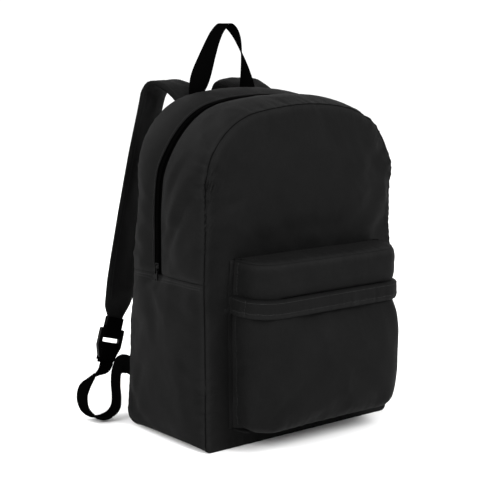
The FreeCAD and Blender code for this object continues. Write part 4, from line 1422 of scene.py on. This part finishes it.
def haul_handle():
    """The webbing loop, from inside the seam up one leg, over the top and down the other."""
    stations = []
    for x, height, angle in HANDLE_LOOP:
        y = 66.6 + 4 * height / 82
        stations.append(((x, y, HANDLE_FOOT / MM + height), level(angle), 1.0))
    piece = web_piece("haul_handle_webbing", ribbon_frames(stations, 170), LEFT)
    blend(piece, "bag", "handle", (0, 0, HANDLE_FOOT), (0, 0, HANDLE_FOOT + 14 * MM))
    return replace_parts(piece, "haul_handle")


# ---- zips ----

TOOTH_PITCH = 1.3 * MM
TAPE_INSET = 0.9 * MM


def repeated(name, template, faces, centres, ways, sides, outs, material):
    """One mesh of many copies of a small form, each turned to its own way, side and out."""
    template = np.array(template)
    copies = centres[:, None] + sum(
        axes[:, None] * template[None, :, k:k + 1] for k, axes in enumerate((ways, sides, outs))
    )
    count = len(template)
    all_faces = [tuple(i + k * count for i in face) for k in range(len(centres)) for face in faces]
    piece = link(name, copies.reshape(-1, 3), all_faces)
    piece.data.materials.append(material)
    shade_smooth(piece)
    return piece


def spindle(length, radius, height):
    """A small rounded bar along its first axis, as template points and faces."""
    profile = ((0.0, 0.35), (0.12, 0.8), (0.5, 1.0), (0.88, 0.8), (1.0, 0.35))
    sides = 6
    points = []
    for share, size in profile:
        for k in range(sides):
            a = 2 * math.pi * k / sides
            points.append(((share - 0.5) * length, radius * size * math.cos(a), height * size * math.sin(a)))
    faces = [tuple(range(sides))[::-1], tuple(len(points) - sides + k for k in range(sides))]
    for r in range(len(profile) - 1):
        for k in range(sides):
            j = (k + 1) % sides
            faces.append((r * sides + k, r * sides + j, (r + 1) * sides + j, (r + 1) * sides + k))
    return points, faces


def coil_half(name, surface, count, row, reach, shift):
    """Half of a zip's coil: rounded bars that reach across the middle. surface(rows, columns)
    gives the band of the zip; row is the middle of this half's bars."""
    columns = (np.arange(count) + 0.5 + shift) / count
    columns = columns[columns < 1]
    rows = np.array([row - 0.04, row, row + 0.04])
    band = surface(rows, columns)
    centres = band[1]
    sides = band[2] - band[0]
    sides /= np.linalg.norm(sides, axis=1, keepdims=True)
    ways = np.gradient(centres, axis=0)
    ways /= np.linalg.norm(ways, axis=1, keepdims=True)
    outs = np.cross(ways, sides)
    outs /= np.linalg.norm(outs, axis=1, keepdims=True)
    centres = centres + outs * 0.05 * MM
    points, faces = spindle(reach, 0.52 * MM, 0.62 * MM)
    return repeated(name, points, faces, centres, sides, ways, outs, COIL)


def tape_half(name, surface, row0, row1, width):
    """Half of a zip's tape, with its woven edge under the coil."""
    rows = np.linspace(row0, row1, 7)
    columns = np.linspace(0, 1, max(30, round(width / (4 * MM))))
    grid = surface(rows, columns)
    flat = flat_measures(grid)
    out = normals_of(grid)
    ribs = 0.12 * MM * np.sin(np.linspace(0, 3 * math.pi, 7))[:, None]
    grid = grid + out * (ribs - TAPE_INSET)[..., None]
    return cloth_piece(name, grid, flat, np.zeros(grid.shape[:2]), TAPE_CLOTH, 0.5 * MM)


def main_zip():
    """Coil and tape run over the arch between the two gussets; the front halves go with the lid."""
    line = arch_line()
    width = length_of(line)
    edge = ZIP_SHOWN + 1.5 * MM
    band = ring_shape(line, beside_zip(-edge), beside_zip(edge))

    def surface(rows, columns):
        grid = band(rows, columns)
        return grid + crumple(grid)

    def row(offset):
        return (offset + edge) / (2 * edge)

    count = round(width / TOOTH_PITCH)
    reach = 2.7 * MM
    gap = 1.15 * MM
    front_coil = coil_half("zip_teeth_front", surface, count, row(-gap), reach, 0.0)
    rear_coil = coil_half("zip_teeth_rear", surface, count, row(gap), reach, 0.5)
    front_tape = tape_half("zip_tape_front", surface, 0.0, row(0.15 * MM), width)
    rear_tape = tape_half("zip_tape_rear", surface, row(-0.15 * MM), 1.0, width)
    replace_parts(blend_lid(front_coil), "lid_zip_coil")
    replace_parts(blend_lid(front_tape), "lid_zip_tape")
    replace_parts(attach(rear_coil, "bag"), "main_zip_coil")
    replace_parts(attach(rear_tape, "bag"), "main_zip_tape")


def pocket_zip():
    """The straight zip behind the flap: two halves of tape, each with its coil."""
    low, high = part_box("pocket_zip_tapes")
    face = low.y

    def surface(rows, columns):
        x = low.x + (high.x - low.x) * columns
        z = low.z - 2 * MM + (high.z - low.z + 4 * MM) * rows
        grid = np.zeros((len(rows), len(columns), 3))
        grid[..., 0] = x[None, :]
        grid[..., 1] = face - TAPE_INSET
        grid[..., 2] = z[:, None]
        return grid

    width = high.x - low.x
    depth = high.z - low.z + 4 * MM
    count = round(width / TOOTH_PITCH)
    for name, side, shift in (("lower", -1, 0.0), ("upper", 1, 0.5)):
        middle = 0.5 + side * 1.15 * MM / depth
        coil = coil_half("pocket_teeth_" + name, surface, count, middle, 2.7 * MM, shift)
        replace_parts(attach(coil, "bag"), "pocket_zip_coils")
        inner = 0.5 + side * 0.5 * MM / depth
        ends = (0.0, inner) if side < 0 else (inner, 1.0)
        tape = tape_half("pocket_tape_" + name, surface, *ends, width)
        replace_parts(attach(tape, "bag"), "pocket_zip_tapes")


# ---- stitching ----

STITCH_PITCH = 3.4 * MM


def stitches(name, piece, guide):
    """A row of stitches laid on a piece's outer face below a guide line."""
    tree = BVHTree.FromObject(piece, bpy.context.evaluated_depsgraph_get())
    guide = np.asarray(guide, float)
    count = max(3, round(length_of(guide) / STITCH_PITCH))
    spots = [tree.find_nearest(Vector(p)) for p in even(guide, count)]
    places = np.array([list(spot[0]) for spot in spots])
    outs = np.array([list(spot[1]) for spot in spots])
    ways = np.gradient(places, axis=0)
    ways /= np.maximum(np.linalg.norm(ways, axis=1, keepdims=True), 1e-9)
    sides = np.cross(outs, ways)
    sides /= np.maximum(np.linalg.norm(sides, axis=1, keepdims=True), 1e-9)
    places = places + outs * 0.12 * MM
    points, faces = spindle(STITCH_PITCH * 0.78, 0.34 * MM, 0.30 * MM)
    row = repeated(name, points, faces, places, ways, sides, outs, THREAD)
    return follow(row, piece)


def over_arch(offset, out):
    """A guide line over the arch beside the zip, held a little way off the cloth."""
    shape = ring_shape(arch_line(), beside_zip(offset - 1 * MM), beside_zip(offset + 1 * MM))
    grid = shape(np.array([0.0, 0.5, 1.0]), np.linspace(0.004, 0.996, 300))
    return (grid + normals_of(grid) * out)[1]


def across_pocket(z, stand, half):
    """A guide line round the pocket's front at one height, out to this far from the middle."""
    line = even(pocket_line(stand, 0.0), 260)
    return [(x, y, z) for x, y in line if abs(x) < half and y < Y_FRONT - 8 * MM]


def flap_stitching(pieces):
    """One row along the flap's top, one at its hem, and a row down each stitched end."""
    for side in (LEFT, RIGHT):
        name = SIDE_NAME[side]
        cloth = pieces["flap_cloth_" + name]
        rows = {"top": FLAP_HIGH.z - 3 * MM, "hem": FLAP_LOW.z + 6.5 * MM}
        for kind, z in rows.items():
            guide = [p for p in across_pocket(z, 12 * MM, 1.0) if side * p[0] > 1 * MM]
            stitches(f"flap_stitch_{kind}_{name}", cloth, guide)
        x = side * (POCKET_HALF + 12 * MM)
        heights = np.linspace(FLAP_LOW.z + 2 * MM, FLAP_HIGH.z - 2 * MM, 12)
        guide = [(x, POCKET_FRONT + 24 * MM, z) for z in heights]
        stitches(f"flap_stitch_end_{name}", cloth, guide)


def strap_stitching(pieces):
    """A row beside each binding, on both faces of the straps."""
    for side in (LEFT, RIGHT):
        name = SIDE_NAME[side]
        centre, sideways, normal, factor = ribbon_frames(STRAP_ROUTES[side], 130)
        for face in (-1, 1):
            for edge in (-1, 1):
                reach = edge * (STRAP_HALF * factor - 4.6 * MM)
                guide = centre + sideways * reach[:, None] + normal * face * 9 * MM
                guide = guide[4:-14] * np.array([-side, 1, 1])
                row = f"strap_stitch_{'front' if face > 0 else 'back'}"
                row += f"_{'outer' if edge < 0 else 'inner'}_{name}"
                stitches(row, pieces["strap_pad_" + name], guide)


def stitching(pieces):
    """Rows beside the side seams, down the ends of the pocket and beside the main zip."""
    off = 6 * MM
    flap_stitching(pieces)
    strap_stitching(pieces)
    for side in (LEFT, RIGHT):
        name = SIDE_NAME[side]
        x = side * (HALF_WIDTH + 8 * MM)
        for number, z in enumerate((SEAM_Z - 2.4 * MM, SEAM_Z - 5.6 * MM)):
            guide = [(x, y, z) for y in np.linspace(Y_FRONT + 5 * MM, back_edge(SEAM_Z) - 5 * MM, 40)]
            stitches(f"side_seam_stitch_{number}_{name}", pieces["side_cloth_" + name], guide)
        for number, out in enumerate((1.7 * MM, 4.6 * MM)):
            guide = [(side * (POCKET_HALF + out), Y_FRONT - 14 * MM, z)
                     for z in np.linspace(POCKET_Z0 + 8 * MM, POCKET_Z1 - 3 * MM, 60)]
            part = [p for p in guide if p[2] < POCKET_ZIP_Z - 6 * MM]
            stitches(f"pocket_side_stitch_{number}_{name}", pieces["pocket_cloth"], part)
            part = [p for p in guide if p[2] > POCKET_ZIP_Z + 7 * MM]
            stitches(f"pocket_band_stitch_{number}_{name}", pieces["pocket_band_cloth"], part)
    stitches("zip_stitch_front", pieces["front_gusset_cloth"], over_arch(-ZIP_SHOWN - 2.3 * MM, off))
    stitches("zip_stitch_rear", pieces["rear_gusset_cloth"], over_arch(ZIP_SHOWN + 2.3 * MM, off))


def inner_back():
    """The foam and the lining behind the back panel, seen when the lid is open."""
    rows = spaced(1.0, 0.02, (False, False))
    columns = spaced(1.0, 0.02, (False, False))
    for name, node, inset, material, slot, thick in (
        ("back_foam_sheet", "back_padding", 2.2 * MM, LINING_CLOTH, "foam", 4 * MM),
        ("back_lining_sheet", "back_lining", 7.6 * MM, LINING_CLOTH, "lining", 0.8 * MM),
    ):
        rows_in = 0.06 + 0.90 * rows
        columns_in = 0.03 + 0.94 * columns
        grid = back_shape(rows_in, columns_in)
        out = normals_of(grid)
        x, z = grid[..., 0], grid[..., 2]
        edge = np.minimum(rows, 1 - rows)[:, None] * np.minimum(columns, 1 - columns)[None, :]
        wrinkle = 1.0 * MM * noise_at(grid, 0.05, 8.0) + 0.5 * MM * noise_at(grid, 0.018, 3.0)
        hollow = 2.7 * MM * swell(HALF_WIDTH - np.abs(x), 45 * MM)
        sunk = inset + hollow - wrinkle * smooth(edge * 30)
        grid = grid - out * sunk[..., None] + crumple(grid)
        flat = flat_measures(grid)
        piece = cloth_piece(name, grid, flat, 0 * z, material, thick)
        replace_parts(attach(piece, "bag"), node)


def frame_materials():
    """Materials for the CAD nodes that stay in sight."""
    metal = ("main_slider", "main_pull", "pocket_slider", "pocket_pull")
    moulded = ("main_zip_stops", "pocket_zip_stops")
    looks = {name: ENAMEL for name in metal}
    looks.update({name: COIL for name in moulded})
    looks.update({"ladder_lock_" + side: BUCKLE for side in ("left", "right")})
    for name, material in looks.items():
        node = frame["nodes"][name]
        node.data.materials.clear()
        node.data.materials.append(material)


# ---- the studio ----

def studio():
    """A pale floor, a white world and three soft lamps."""
    floor = link("floor", [(-6, -6, 0), (6, -6, 0), (6, 6, 0), (-6, 6, 0)], [(0, 1, 2, 3)])
    floor.data.materials.append(floor_material())
    world = bpy.data.worlds.new("studio")
    world.use_nodes = True
    background = world.node_tree.nodes["Background"]
    background.inputs["Color"].default_value = (1.0, 1.0, 1.0, 1.0)
    background.inputs["Strength"].default_value = 1.12
    bpy.context.scene.world = world
    bpy.context.scene.view_settings.view_transform = "Standard"
    soft_box("key", (0.4, -2.6, 2.4), 1.5, 110)
    soft_box("fill", (-2.4, -0.6, 1.5), 1.2, 45)
    soft_box("rim", (-0.9, 2.2, 2.2), 1.4, 60)


def soft_box(name, place, size, power):
    """A square lamp that looks at the bag."""
    lamp = bpy.data.lights.new(name, "AREA")
    lamp.size = size
    lamp.energy = power
    holder = bpy.data.objects.new(name, lamp)
    holder.location = place
    aim = Vector((0, 0, 0.25)) - Vector(place)
    holder.rotation_euler = aim.to_track_quat("-Z", "Y").to_euler()
    bpy.context.scene.collection.objects.link(holder)


def camera():
    """A long lens at bag height, seen from the front and the left."""
    turn, down = math.radians(38.6), math.radians(9.22)
    look = Vector((math.sin(turn) * math.cos(down), math.cos(turn) * math.cos(down), -math.sin(down)))
    lens = bpy.data.cameras.new("camera")
    lens.lens = 97.5
    lens.sensor_width = 36
    view = bpy.data.objects.new("camera", lens)
    view.location = (-1.0460, MIDDLE - 1.2624, 0.5005)
    view.rotation_euler = look.to_track_quat("-Z", "Y").to_euler()
    bpy.context.scene.collection.objects.link(view)
    bpy.context.scene.camera = view


camera()
studio()
front_panel()
gusset_panels()
back_panel()
pocket()
main_zip()
pocket_zip()
haul_handle()
for which in (LEFT, RIGHT):
    flap_half(which)
    shoulder_strap(which)
    adjuster(which)
inner_back()
stitching(bpy.data.objects)
frame_materials()
